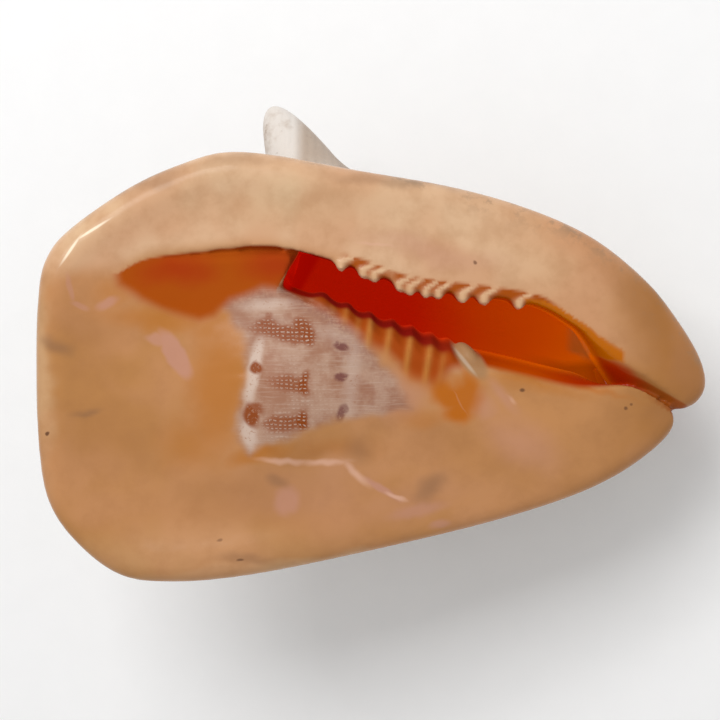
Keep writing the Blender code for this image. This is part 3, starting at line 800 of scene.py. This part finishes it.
def grown_shell():
    """The whole shell in its own frame, and the hollow that was carved out of it."""
    body = [whorls(), shield(), shoulder_fill(), canal_spout()]
    body += [horn(angle, height) for angle, height in HORNS]
    solid = smoothed(fused("solid", body, VOXEL), BODY_SMOOTHING)
    hollow = fused("hollow", [aperture_slot(), chamber(), canal_channel()], VOXEL)
    carved_away = BVHTree.FromPolygons(
        [vertex.co for vertex in hollow.data.vertices],
        [tuple(face.vertices) for face in hollow.data.polygons],
    )
    body = carved(carved(solid, hollow), canal_notch())
    shell = fused("conch_shell", [body, columella_knob()], VOXEL)
    shell = smoothed(shell, EDGE_SMOOTHING)
    limits = {False: THINNED_BELOW * MM, True: THINNED_BELOW_IN_FRONT * MM}
    low = [v.index for v in shell.data.vertices if v.co.z < limits[v.co.x > FRONT_X * MM]]
    shell.vertex_groups.new(name="thinned").add(low, 1.0, "REPLACE")
    thin = shell.modifiers.new("thin", "DECIMATE")
    thin.vertex_group = "thinned"
    thin.ratio = min(1.0, TRIANGLES / sum(len(face.vertices) - 2 for face in shell.data.polygons))
    return applied(shell), carved_away


def coil_place(points):
    """Where each point lies on the coil: profile x at the lip, length along the growth, radius."""
    angle = np.arctan2(points[:, 2], points[:, 1])
    angle = np.where(angle > radians(LIP_ANGLE + 3), angle - 2 * pi, angle)
    profile = np.array(WHORL_PROFILE)
    at_lip = points[:, 0].copy()
    for _ in range(8):
        growth = np.interp(at_lip, profile[:, 0], profile[:, 2])
        at_lip = APEX_X + (points[:, 0] - APEX_X) / growth ** (angle / (2 * pi))
    return np.column_stack([at_lip, angle * COIL_RADIUS, np.hypot(points[:, 1], points[:, 2])])


def keep_on_points(mesh, name, kind, values):
    """Stores a value for each vertex, which the material reads by name."""
    stored = mesh.attributes.new(name, kind, "POINT")
    flat = np.ascontiguousarray(values, np.float32).ravel()
    stored.data.foreach_set("value" if kind == "FLOAT" else "vector", flat)


def swirled(points, scale, reach):
    """A smooth random step for each point, of about that reach."""
    return reach * np.array([noise.noise_vector(Vector(point) * scale) for point in points])


def washed(points, patches):
    """How strongly each point lies in oval washes."""
    strongest = np.zeros(len(points))
    for x, y, half_length, half_width, turn, soft, strength in patches:
        turned = radians(turn)
        dx, dy = (points[:, :2] - (x, y)).T
        first = (dx * cos(turned) + dy * sin(turned)) / half_length
        second = (dy * cos(turned) - dx * sin(turned)) / half_width
        fade = smoothstep(1 + soft, 1 - soft, np.hypot(first, second))
        strongest = np.maximum(strongest, strength * fade)
    return strongest


def depth_within(points, outline):
    """How far each point lies inside an outline, and below 0 outside it."""
    corners = np.array(outline, float)
    nearest = np.full(len(points), 1e9)
    within = np.zeros(len(points), bool)
    px, py = points[:, 0], points[:, 1]
    for (ax, ay), (bx, by) in zip(corners, np.roll(corners, -1, axis=0)):
        share = ((px - ax) * (bx - ax) + (py - ay) * (by - ay)) / ((bx - ax) ** 2 + (by - ay) ** 2)
        share = np.clip(share, 0, 1)
        nearest = np.minimum(nearest, np.hypot(px - ax - share * (bx - ax), py - ay - share * (by - ay)))
        if ay != by:
            crossing = (bx - ax) * (py - ay) / (by - ay) + ax
            within ^= ((ay > py) != (by > py)) & (px < crossing)
    return np.where(within, nearest, -nearest)


def measured(shell, carved_away):
    """Keeps each vertex's place in the shell's frame, and every mask that the material reads."""
    mesh = shell.data
    points = np.empty(len(mesh.vertices) * 3)
    mesh.vertices.foreach_get("co", points)
    points = points.reshape(-1, 3) / MM
    x, y, z = points.T
    ragged = points + swirled(points, 0.3, 0.7)
    wavy = ragged + swirled(points, 0.045, 4.0) + swirled(points, 0.13, 1.6)
    bent = points + swirled(points, 0.06, 2.2)
    gap = np.array([carved_away.find_nearest(Vector(point) * MM)[3] for point in points]) / MM
    depth = SHIELD_Z + 2 - front_fall(x) - z
    below_lip = along(LIP_EDGE, x) - y
    above_columella = y - along(COLUMELLA_EDGE, x)
    at_slot = (below_lip > -3) & (above_columella > -3) & (z > 0) & (x > 88)
    inside = 1 - smoothstep(np.where(at_slot, 1.2, 0.5), np.where(at_slot, 3.2, 1.6), gap)
    tooth = bumps(x - TOOTH_SLANT * np.maximum(-below_lip, 0), [(at, 1, half) for at, _, half in TEETH])
    fold = bumps(x - FOLD_SLANT * above_columella, [(at, strength, 1.2) for at, strength in FOLD_LINES])
    crest = np.clip(np.where(below_lip < above_columella, tooth, fold), 0, 1)
    between = smoothstep(0.9, 0.4, tooth) * smoothstep(GROOVE_REACH, 3.0, -below_lip)
    groove = between * smoothstep(128, 140, x) * smoothstep(200, 188, x)
    groove = np.maximum(groove, 0.8 * between * smoothstep(113, 120, x) * smoothstep(140, 128, x))
    groove = np.clip(1.3 * groove, 0, 1)
    groove *= smoothstep(3, 0.5, below_lip)
    reach = along(FOLD_REACH, x)
    fold_zone = smoothstep(-reach - 3, -reach + 5, above_columella + 0.6 * (wavy[:, 0] - x))
    fold_zone *= smoothstep(93, 96, x) * smoothstep(166, 158, x) * smoothstep(3, 1, above_columella)
    darkness = along(CANAL_DARK_WIDTH, x)
    softness = 1 + 1.2 * smoothstep(210, 222, x)
    from_edge = above_columella + 0.5 * (wavy[:, 1] - y)
    canal_dark = 1 - smoothstep(darkness - softness, darkness + softness, from_edge)
    ridge = np.where(below_lip < above_columella, tooth * smoothstep(-5, -1, below_lip), fold * fold_zone)
    coil = coil_place(points)
    seam_gap = np.minimum(coil[:, 1] - coil[:, 1].min(), coil[:, 1].max() - coil[:, 1])
    seam = np.maximum(smoothstep(9, 4, seam_gap * coil[:, 2] / COIL_RADIUS), smoothstep(12, 6, coil[:, 2]))
    for name, values in (("place", points), ("ragged", ragged), ("coil", coil)):
        keep_on_points(mesh, name, "FLOAT_VECTOR", values)
    numbers = {
        "across": x, "wavy_x": wavy[:, 0], "up": y, "out": z,
        "profile": coil[:, 0], "growth": coil[:, 1], "radius": coil[:, 2],
        "below_lip": below_lip, "above_columella": above_columella, "crest": crest,
        "inside": inside, "depth": depth, "groove": groove, "fold_zone": fold_zone,
        "ridge": ridge, "canal_dark": canal_dark, "seam": seam,
        "canal_amber": smoothstep(-0.6, 0.6, depth_within(ragged, CANAL_AMBER_OUTLINE)),
        "window": smoothstep(-2.2, 2.2, depth_within(wavy, WINDOW_OUTLINE)),
        "recess": smoothstep(-3, 3, depth_within(bent, RECESS_OUTLINE))
        * np.maximum(smoothstep(-0.4, 0.6, below_lip), smoothstep(3.5, 4.5, depth)),
    }
    numbers.update({name: washed(wavy, patches) for name, patches in WASHES.items()})
    for name, values in numbers.items():
        keep_on_points(mesh, name, "FLOAT", values)


def linear(red, green, blue):
    """A colour from its 0 to 255 values, in linear light."""
    shares = [value / 255 for value in (red, green, blue)]
    return tuple(c / 12.92 if c <= 0.04045 else ((c + 0.055) / 1.055) ** 2.4 for c in shares) + (1,)


class Painter:
    """Adds nodes to a material and returns their output sockets."""

    def __init__(self, tree):
        self.tree = tree

    def node(self, kind, *values, **settings):
        """A node with those settings, and those values on its first inputs."""
        made = self.tree.nodes.new(kind)
        for name, value in settings.items():
            setattr(made, name, value)
        for socket, value in zip(made.inputs, values):
            self.plug(socket, value)
        return made

    def plug(self, socket, value):
        if isinstance(value, bpy.types.NodeSocket):
            self.tree.links.new(value, socket)
        else:
            socket.default_value = value

    def stored(self, name, output="Vector"):
        return self.node("ShaderNodeAttribute", attribute_name=name).outputs[output]

    def number(self, name):
        return self.stored(name, "Fac")

    def joined(self, x, y, z):
        return self.node("ShaderNodeCombineXYZ", x, y, z).outputs[0]

    def math(self, operation, first, second=0.0):
        return self.node("ShaderNodeMath", first, second, operation=operation).outputs[0]

    def vector(self, operation, first, second):
        made = self.node("ShaderNodeVectorMath", first, second, operation=operation)
        return made.outputs["Value" if operation in ("DISTANCE", "DOT_PRODUCT") else "Vector"]

    def rise(self, value, low, high, top=1.0):
        """0 below low and top above high, with a smooth step between."""
        limits = (low, high, 0.0, top) if low < high else (high, low, top, 0.0)
        made = self.node("ShaderNodeMapRange", value, *limits, interpolation_type="SMOOTHSTEP")
        return made.outputs["Result"]

    def chained(self, operation, values):
        """The operation on the first two values, then on that result and the next, and so on."""
        return functools.reduce(lambda made, value: self.math(operation, made, value), values)

    def plus(self, *values):
        return self.chained("ADD", values)

    def minus(self, *values):
        return self.chained("SUBTRACT", values)

    def times(self, *values):
        return self.chained("MULTIPLY", values)

    def most(self, *values):
        return self.chained("MAXIMUM", values)

    def less(self, mask):
        return self.minus(1.0, mask)

    def mix(self, mask, under, over):
        """One colour over another. Three values are 0 to 255, four are in linear light."""
        made = self.node("ShaderNodeMix", data_type="RGBA")
        self.plug(made.inputs["Factor"], mask)
        for socket, colour in ((made.inputs[6], under), (made.inputs[7], over)):
            given = isinstance(colour, tuple) and len(colour) == 3
            self.plug(socket, linear(*colour) if given else colour)
        return made.outputs[2]

    def noise(self, place, scale, detail=3.0, roughness=0.5):
        made = self.node("ShaderNodeTexNoise")
        self.plug(made.inputs["Vector"], place)
        for name, value in (("Scale", scale), ("Detail", detail), ("Roughness", roughness)):
            self.plug(made.inputs[name], value)
        return made.outputs[0]

    def spot(self, place, x, y, half_length, half_width, turn, soft, strength=1.0):
        """An oval patch at (x, y) that fades out over its soft share."""
        turned = radians(turn)
        along_it = (cos(turned) / half_length, sin(turned) / half_length, 0)
        across_it = (-sin(turned) / half_width, cos(turned) / half_width, 0)
        centre = [sum(a * b for a, b in zip(axis, (x, y, 0))) for axis in (along_it, across_it)]
        first = self.vector("DOT_PRODUCT", place, along_it)
        second = self.vector("DOT_PRODUCT", place, across_it)
        reach = self.vector("DISTANCE", self.joined(first, second, 0), (*centre, 0))
        return self.rise(reach, 1 + soft, 1 - soft, strength)

    def spots(self, place, patches):
        return self.most(*[self.spot(place, *patch) for patch in patches])


def shell_material():
    """The shell's one material. Its nodes are made in an order that keeps the renderer's stack small."""
    material = bpy.data.materials.new("conch_shell")
    material.use_nodes = True
    tree = material.node_tree
    p = Painter(tree)
    surface = tree.nodes["Principled BSDF"]

    place = p.stored("place")
    x, y, z = [p.number(name) for name in ("across", "up", "out")]
    below_lip, above_columella = p.number("below_lip"), p.number("above_columella")
    crest, inside, depth = [p.number(name) for name in ("crest", "inside", "depth")]

    grain = p.node("ShaderNodeTexCoord").outputs["Object"]
    ragged = p.stored("ragged")
    wavy_x = p.number("wavy_x")
    mottle = p.noise(grain, 90, 4, 0.6)
    speckle = p.noise(grain, 900, 2, 0.6)
    cloud = p.noise(grain, 28, 2, 0.5)

    # The ventral face: where the glaze lies.
    height = p.plus(z, p.rise(x, 190, 250, FRONT_FALL))
    edge_noise = p.times(p.minus(mottle, 0.5), EDGE_WOBBLE)
    glazed = p.rise(p.plus(height, edge_noise), *GLAZE_EDGE)
    on_lip = p.rise(below_lip, 3, -6)

    # Glaze, from the pale lip to the tan far side.
    # Towards the canal's tip the glaze turns darker, partly its own tone and partly painted shade.
    tan = p.mix(p.rise(wavy_x, 60, 190), TAN, TAN_FRONT)
    tan = p.mix(p.rise(wavy_x, 205, 245), tan, TAN_TIP)
    lip = p.mix(p.rise(wavy_x, 150, 215), LIP, LIP_FRONT)
    lip = p.mix(p.rise(wavy_x, 205, 240), lip, LIP_TIP)
    glaze = p.mix(on_lip, tan, lip)
    # Pale glaze on the lip and rims, with painted light on the rims' crests.
    glaze = p.mix(p.number("pale"), glaze, RIM_PALE_AND_LIT)
    glaze = p.mix(p.rise(cloud, 0.42, 0.62, 0.45), glaze, PEACH)
    glaze = p.mix(p.rise(mottle, 0.38, 0.72, 0.28), glaze, TAN_DARK)
    # The darker tan washes are partly painted shade; the rosy, amber and orange washes are the glaze's own
    # colours.
    for name, wash in (("darker_and_shade", TAN_DARK), ("rosy", PINK_AND_REFLECTION), ("amber", AMBER), ("orange", ORANGE)):
        glaze = p.mix(p.number(name), glaze, wash)
    # Painted reflections: the pink patches and most pale streaks. Painted highlights: the rim's bright
    # lines.
    for where, patches, mark in (
        (ragged, PINK_REFLECTIONS, PINK_AND_REFLECTION), (ragged, PALE_LINES_AND_REFLECTIONS, PALE_LINE_AND_REFLECTION), (place, PAINTED_RIM_HIGHLIGHTS, PAINTED_RIM_HIGHLIGHT),
    ):
        glaze = p.mix(p.spots(where, patches), glaze, mark)
    for name, wash in (("smudge", GREY_BROWN), ("groove", AMBER_DEEP)):
        glaze = p.mix(p.number(name), glaze, wash)

    # The bare whorl that shows through the glaze in the middle.
    window = p.number("window")
    wobble = p.times(speckle, NET_WOBBLE)
    broken = p.rise(speckle, 0.22, 0.46)
    row = p.plus(p.vector("DOT_PRODUCT", ragged, (0.05, 2 * pi / ROW_PITCH, 0)), wobble)
    column = p.plus(p.vector("DOT_PRODUCT", ragged, (2 * pi / COLUMN_PITCH, 0.3, 0)), wobble)
    dash = p.times(p.rise(p.math("SINE", row), 0.1, 0.7), p.rise(p.math("SINE", column), -0.6, 0.1))
    dash = p.times(dash, p.rise(speckle, 0.3, 0.5))
    netted = p.times(p.number("netted"), p.rise(mottle, 0.4, 0.58))
    bare = p.mix(p.rise(mottle, 0.38, 0.62), LILAC, LILAC_PALE)
    bare = p.mix(p.times(p.number("purple"), p.rise(speckle, 0.25, 0.6)), bare, PURPLE)
    streaks = p.noise(p.vector("MULTIPLY", place, (0.1, 1.5, 0)), 1.0, 2, 0.6)
    bare = p.mix(p.rise(streaks, 0.5, 0.72, 0.25), bare, WHITE_SHELL)
    bare = p.mix(p.times(p.spots(ragged, WHITE_STRIPES), broken), bare, WHITE_SHELL)
    bare = p.mix(p.times(p.less(dash), p.times(netted, 0.4)), bare, PURPLE)
    bare = p.mix(p.times(p.number("lattice"), p.rise(speckle, 0.15, 0.45)), bare, RED_BROWN)
    netting = p.times(dash, p.most(netted, p.number("lattice")))
    bare = p.mix(p.times(netting, 0.7), bare, WHITE_SHELL)
    for patches, mark in ((BROWN_SPOTS, RED_BROWN), (PLUM_SPOTS, PLUM)):
        bare = p.mix(p.times(p.spots(ragged, patches), broken), bare, mark)
    glaze = p.mix(window, glaze, bare)

    # The orange ground of the folds and their pale crests.
    fold_ground = p.mix(p.times(crest, 0.8), FOLD_ORANGE, FOLD_PALE)
    glaze = p.mix(p.number("fold_zone"), glaze, fold_ground)

    # The aperture: deep red in the slot, orange in the shallow recess and towards the canal, with painted
    # light and shade in the slot.
    throat = p.mix(p.rise(wavy_x, *THROAT_ORANGE), RED, ORANGE_RED)
    throat = p.mix(p.rise(wavy_x, *THROAT_BROWN), throat, CANAL_BROWN)
    rim = p.mix(p.rise(wavy_x, *THROAT_ORANGE), RED_RIM, BROWN_RIM)
    left_end = p.plus(x, p.times(p.minus(SLOT_END_Y, y), SLOT_END_LEAN))
    at_end = p.times(p.rise(left_end, *END_WALL), p.rise(depth, *END_WALL_DEPTH))
    painted_glow_colour = throat
    # Painted light: the red turns brighter deeper in than at the lit edge, which makes up for the shade deep
    # in the slot.
    throat = p.mix(p.rise(depth, *THROAT_DEPTH), rim, throat)
    # Painted shade: the canal's floor turns dark next to the columella's edge.
    shadow_reach = p.minus(above_columella, p.rise(x, 205, 218, 3))
    canal_shadow = p.times(p.rise(shadow_reach, 6, 1), p.rise(x, 186, 208))
    throat = p.mix(canal_shadow, throat, CANAL_SHADE)
    throat = p.mix(p.rise(x, *CANAL_FADE), throat, CANAL_END)
    opening = p.times(inside, p.most(p.rise(left_end, *SLOT_LEFT_END), p.rise(depth, *CHAMBER_DEPTH)))
    lip_edge = p.plus(p.times(crest, TOOTH_PALE), LIP_EDGE_DEPTH)
    lip_depth = p.rise(p.minus(depth, lip_edge), 0, 2.5)
    lip_shade = p.mix(p.rise(x, *CANAL_START), lip_depth, p.number("canal_dark"))
    # Tooth tips: their own pale colour, painted lighter still to make up for their shading.
    toothed = p.mix(p.times(crest, p.rise(depth, 0.5, 3), 0.8), glaze, TOOTH_TIP_PALE_AND_LIT)
    from_lip = p.mix(lip_shade, toothed, throat)
    from_lip = p.mix(p.times(p.number("canal_amber"), p.rise(depth, 20, 14)), from_lip, CANAL_AMBER)
    from_columella = p.mix(p.rise(depth, 2.5, 6), glaze, throat)
    nearer_lip = p.rise(p.minus(above_columella, below_lip), -1, 1)
    opened = p.mix(nearer_lip, from_columella, from_lip)
    # At the slot's end wall the base colour turns almost black under a painted glow, so the wall shows even
    # painted light in place of its cast shadow.
    opened = p.mix(at_end, opened, END_SHADE)
    shell = p.mix(opening, glaze, opened)
    # Painted glow: the deep slot gives off light as if it were lit, in place of the light that reaches it.
    painted_glow_share = p.times(opening, p.rise(depth, *PAINTED_GLOW_DEPTH), p.rise(x, *PAINTED_GLOW_END, THROAT_PAINTED_GLOW))
    glow = p.mix(painted_glow_share, BLACK, painted_glow_colour)
    glow = p.mix(p.times(opening, at_end), glow, END_PAINTED_GLOW)
    p.plug(surface.inputs["Emission Color"], glow)
    surface.inputs["Emission Strength"].default_value = PAINTED_GLOW_STRENGTH
    recess = p.times(p.number("recess"), p.less(p.times(opening, opening, opening)))
    shell = p.mix(recess, shell, p.mix(p.number("recess_red"), RECESS, RECESS_DARK))
    knob = p.times(p.spot(place, *KNOB_PATCH), p.rise(height, 18, 24))
    # The knob's pale streak is a painted highlight.
    shell = p.mix(knob, shell, p.mix(p.spot(place, *KNOB_HIGHLIGHT_STREAK), KNOB, KNOB_HIGHLIGHT))
    shell = p.mix(p.spots(ragged, PITS_DARK), shell, DARK_PIT)

    # The unglazed outside: off-white, netted, with rows of brown blotches round the coil.
    coil = p.stored("coil")
    profile_x, growth, radius = [p.number(name) for name in ("profile", "growth", "radius")]
    cord = p.math("SINE", p.times(profile_x, 2 * pi / CORD_PITCH))
    thread = p.math("SINE", p.plus(p.times(growth, 2 * pi / THREAD_PITCH), wobble))
    net = p.rise(p.times(cord, thread), 0.0, 0.8)
    outside = p.mix(p.rise(mottle, 0.35, 0.7), BACK, BACK_DARK)
    outside = p.mix(p.times(net, 0.3), outside, WHITE_SHELL)
    blotch_noise = p.noise(p.vector("MULTIPLY", coil, (1, 1, 0)), 0.06, 4, 0.65)
    marks = []
    for at, half, phase in BLOTCH_BANDS:
        band = p.rise(p.math("ABSOLUTE", p.minus(profile_x, at)), half * 1.5, half * 0.5)
        pulse = p.math("SINE", p.plus(p.times(growth, 2 * pi / BLOTCH_PITCH), phase))
        marks.append(p.times(band, p.rise(p.plus(pulse, p.times(blotch_noise, 1.6)), 0.9, 1.5)))
    outside = p.mix(p.times(p.most(*marks), p.rise(blotch_noise, 0.35, 0.5), 0.8), outside, BLOTCH)
    flecks = p.rise(p.noise(p.vector("MULTIPLY", coil, (1, 0.35, 0)), 0.5, 3, 0.7), 0.62, 0.74, 0.5)
    outside = p.mix(flecks, outside, FLECK)
    bar = p.math("SINE", p.plus(p.times(x, 2 * pi / BAR_PITCH), p.times(mottle, 3.0)))
    lip_back = p.times(p.rise(height, 2, 12), p.rise(y, 30, 48), p.rise(x, 60, 80), p.rise(bar, 0.3, 0.8))
    outside = p.mix(p.times(lip_back, 0.85), outside, BAR_BROWN)
    under_rim = p.times(p.rise(height, 6, 26), p.rise(z, 4, 20))
    outside = p.mix(p.times(under_rim, p.less(lip_back), 0.55), outside, UNDER_RIM)
    seamless = p.less(p.number("seam"))
    outside = p.mix(seamless, BACK_DARK, outside)
    worn = p.rise(p.plus(radius, edge_noise), 78, 92)
    bare_horn = p.times(worn, p.less(glazed))
    shaded = p.most(p.rise(x, 94, 100), p.rise(mottle, 0.5, 0.7, 0.6))
    outside = p.mix(bare_horn, outside, p.mix(shaded, HORN, HORN_SHADE))
    smudge = p.times(worn, p.rise(p.noise(grain, 220, 4, 0.7), 0.6, 0.72, 0.7))
    outside = p.mix(smudge, outside, HORN_SMUDGE)

    covered = p.most(glazed, inside)
    colour = p.mix(covered, outside, shell)
    rim_side = p.rise(height, 37, 32)
    grime = p.rise(p.noise(grain, 120, 4, 0.7), 0.5, 0.66, 0.6)
    dirt = p.times(glazed, rim_side, grime, p.rise(below_lip, -12, -18))
    colour = p.mix(dirt, colour, RIM_DIRT)
    p.plug(surface.inputs["Base Color"], colour)

    # Gloss: polished glaze, duller bare shell.
    dull = p.most(
        p.less(covered), p.times(window, 0.8), p.times(recess, 2.6), p.times(p.number("fold_zone"), 2.0),
    )
    rough = p.plus(p.times(dull, DULLNESS), p.times(mottle, MOTTLED_ROUGHNESS))
    p.plug(surface.inputs["Roughness"], p.plus(rough, GLAZE_ROUGHNESS))
    surface.inputs["IOR"].default_value = GLAZE_IOR
    surface.inputs["Specular IOR Level"].default_value = SPECULAR_LEVEL

    # Relief too fine for the mesh: pits and rows in the window, threads and cords outside.
    soft_waves = p.times(p.noise(grain, 60, 2, 0.5), 0.5)
    window_relief = p.times(netting, window, 0.15)
    ridges = p.times(p.number("ridge"), 0.3)
    growth_lines = p.noise(p.vector("MULTIPLY", coil, (0.12, 1, 0)), 0.5, 3, 0.6)
    rough_back = p.plus(p.times(cord, CORD_RELIEF), p.times(net, -CORD_RELIEF))
    rough_back = p.plus(rough_back, p.times(growth_lines, GROWTH_RELIEF))
    relief = p.plus(soft_waves, window_relief, ridges)
    relief = p.plus(relief, p.times(rough_back, p.less(covered), seamless, p.less(p.times(worn, 0.7))))
    bump = p.node("ShaderNodeBump")
    p.plug(bump.inputs["Height"], relief)
    bump.inputs["Strength"].default_value = 1.0
    bump.inputs["Distance"].default_value = MM
    p.plug(surface.inputs["Normal"], bump.outputs[0])
    return material


def rested():
    """From the shell's frame to the way it lies on the floor."""
    pitch = Matrix.Rotation(radians(REST_PITCH), 4, "Y")
    roll = Matrix.Rotation(radians(REST_ROLL), 4, "X")
    return Matrix.Translation(Vector(REST_SHIFT) * MM) @ pitch @ roll


def worn_flat(shell):
    """Levels what would reach below the floor at the three places where the shell rests."""
    for vertex in shell.data.vertices:
        vertex.co.z = max(vertex.co.z, 0.0)


def floor_and_lights():
    """The plain pale floor, the white sky and the soft studio lights."""
    floor_mesh = bmesh.new()
    bmesh.ops.create_grid(floor_mesh, x_segments=2, y_segments=2, size=FLOOR_HALF_WIDTH)
    floor = placed("floor", floor_mesh)
    paper = bpy.data.materials.new("floor_paper")
    paper.use_nodes = True
    p = Painter(paper.node_tree)
    surface = paper.node_tree.nodes["Principled BSDF"]
    grain = p.noise(p.node("ShaderNodeTexCoord").outputs["Object"], 60.0, 3)
    p.plug(surface.inputs["Base Color"], p.mix(grain, PAPER, PAPER_PALE))
    surface.inputs["Roughness"].default_value = PAPER_ROUGHNESS
    floor.data.materials.append(paper)
    world = bpy.data.worlds.new("studio")
    world.use_nodes = True
    sky = world.node_tree.nodes["Background"]
    sky.inputs["Color"].default_value = (1, 1, 1, 1)
    sky.inputs["Strength"].default_value = SKY_STRENGTH
    bpy.context.scene.world = world
    for name, (place, size, power) in LIGHTS.items():
        lamp = bpy.data.lights.new(name, "AREA")
        lamp.size = size
        lamp.energy = power
        light = put_in_scene(name, lamp)
        light.location = place
        light.rotation_mode = "QUATERNION"
        light.rotation_quaternion = (Vector(LIGHT_TARGET) - Vector(place)).to_track_quat("-Z", "Y")


def camera(lay):
    """Looks straight at the shield, as the photograph does."""
    distance = FRAME_WIDTH * LENS / SENSOR
    eye = put_in_scene("camera", bpy.data.cameras.new("camera"))
    eye.data.lens = LENS
    eye.data.sensor_width = SENSOR
    eye.data.clip_start = 0.01
    centre_x, centre_y = FRAME_CENTRE
    eye.matrix_world = lay @ Matrix.Translation(Vector((centre_x, centre_y, SHIELD_Z + distance)) * MM)
    bpy.context.scene.camera = eye


def main():
    noise.seed_set(NOISE_SEED)
    lay = rested()
    shell, carved_away = grown_shell()
    measured(shell, carved_away)
    shell.data.transform(lay)
    worn_flat(shell)
    shell.data.shade_smooth()
    shell.data.materials.clear()
    shell.data.materials.append(shell_material())
    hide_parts("shell")
    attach(shell, "root")
    floor_and_lights()
    camera(lay)
    bpy.context.scene.view_settings.view_transform = "Standard"


main()
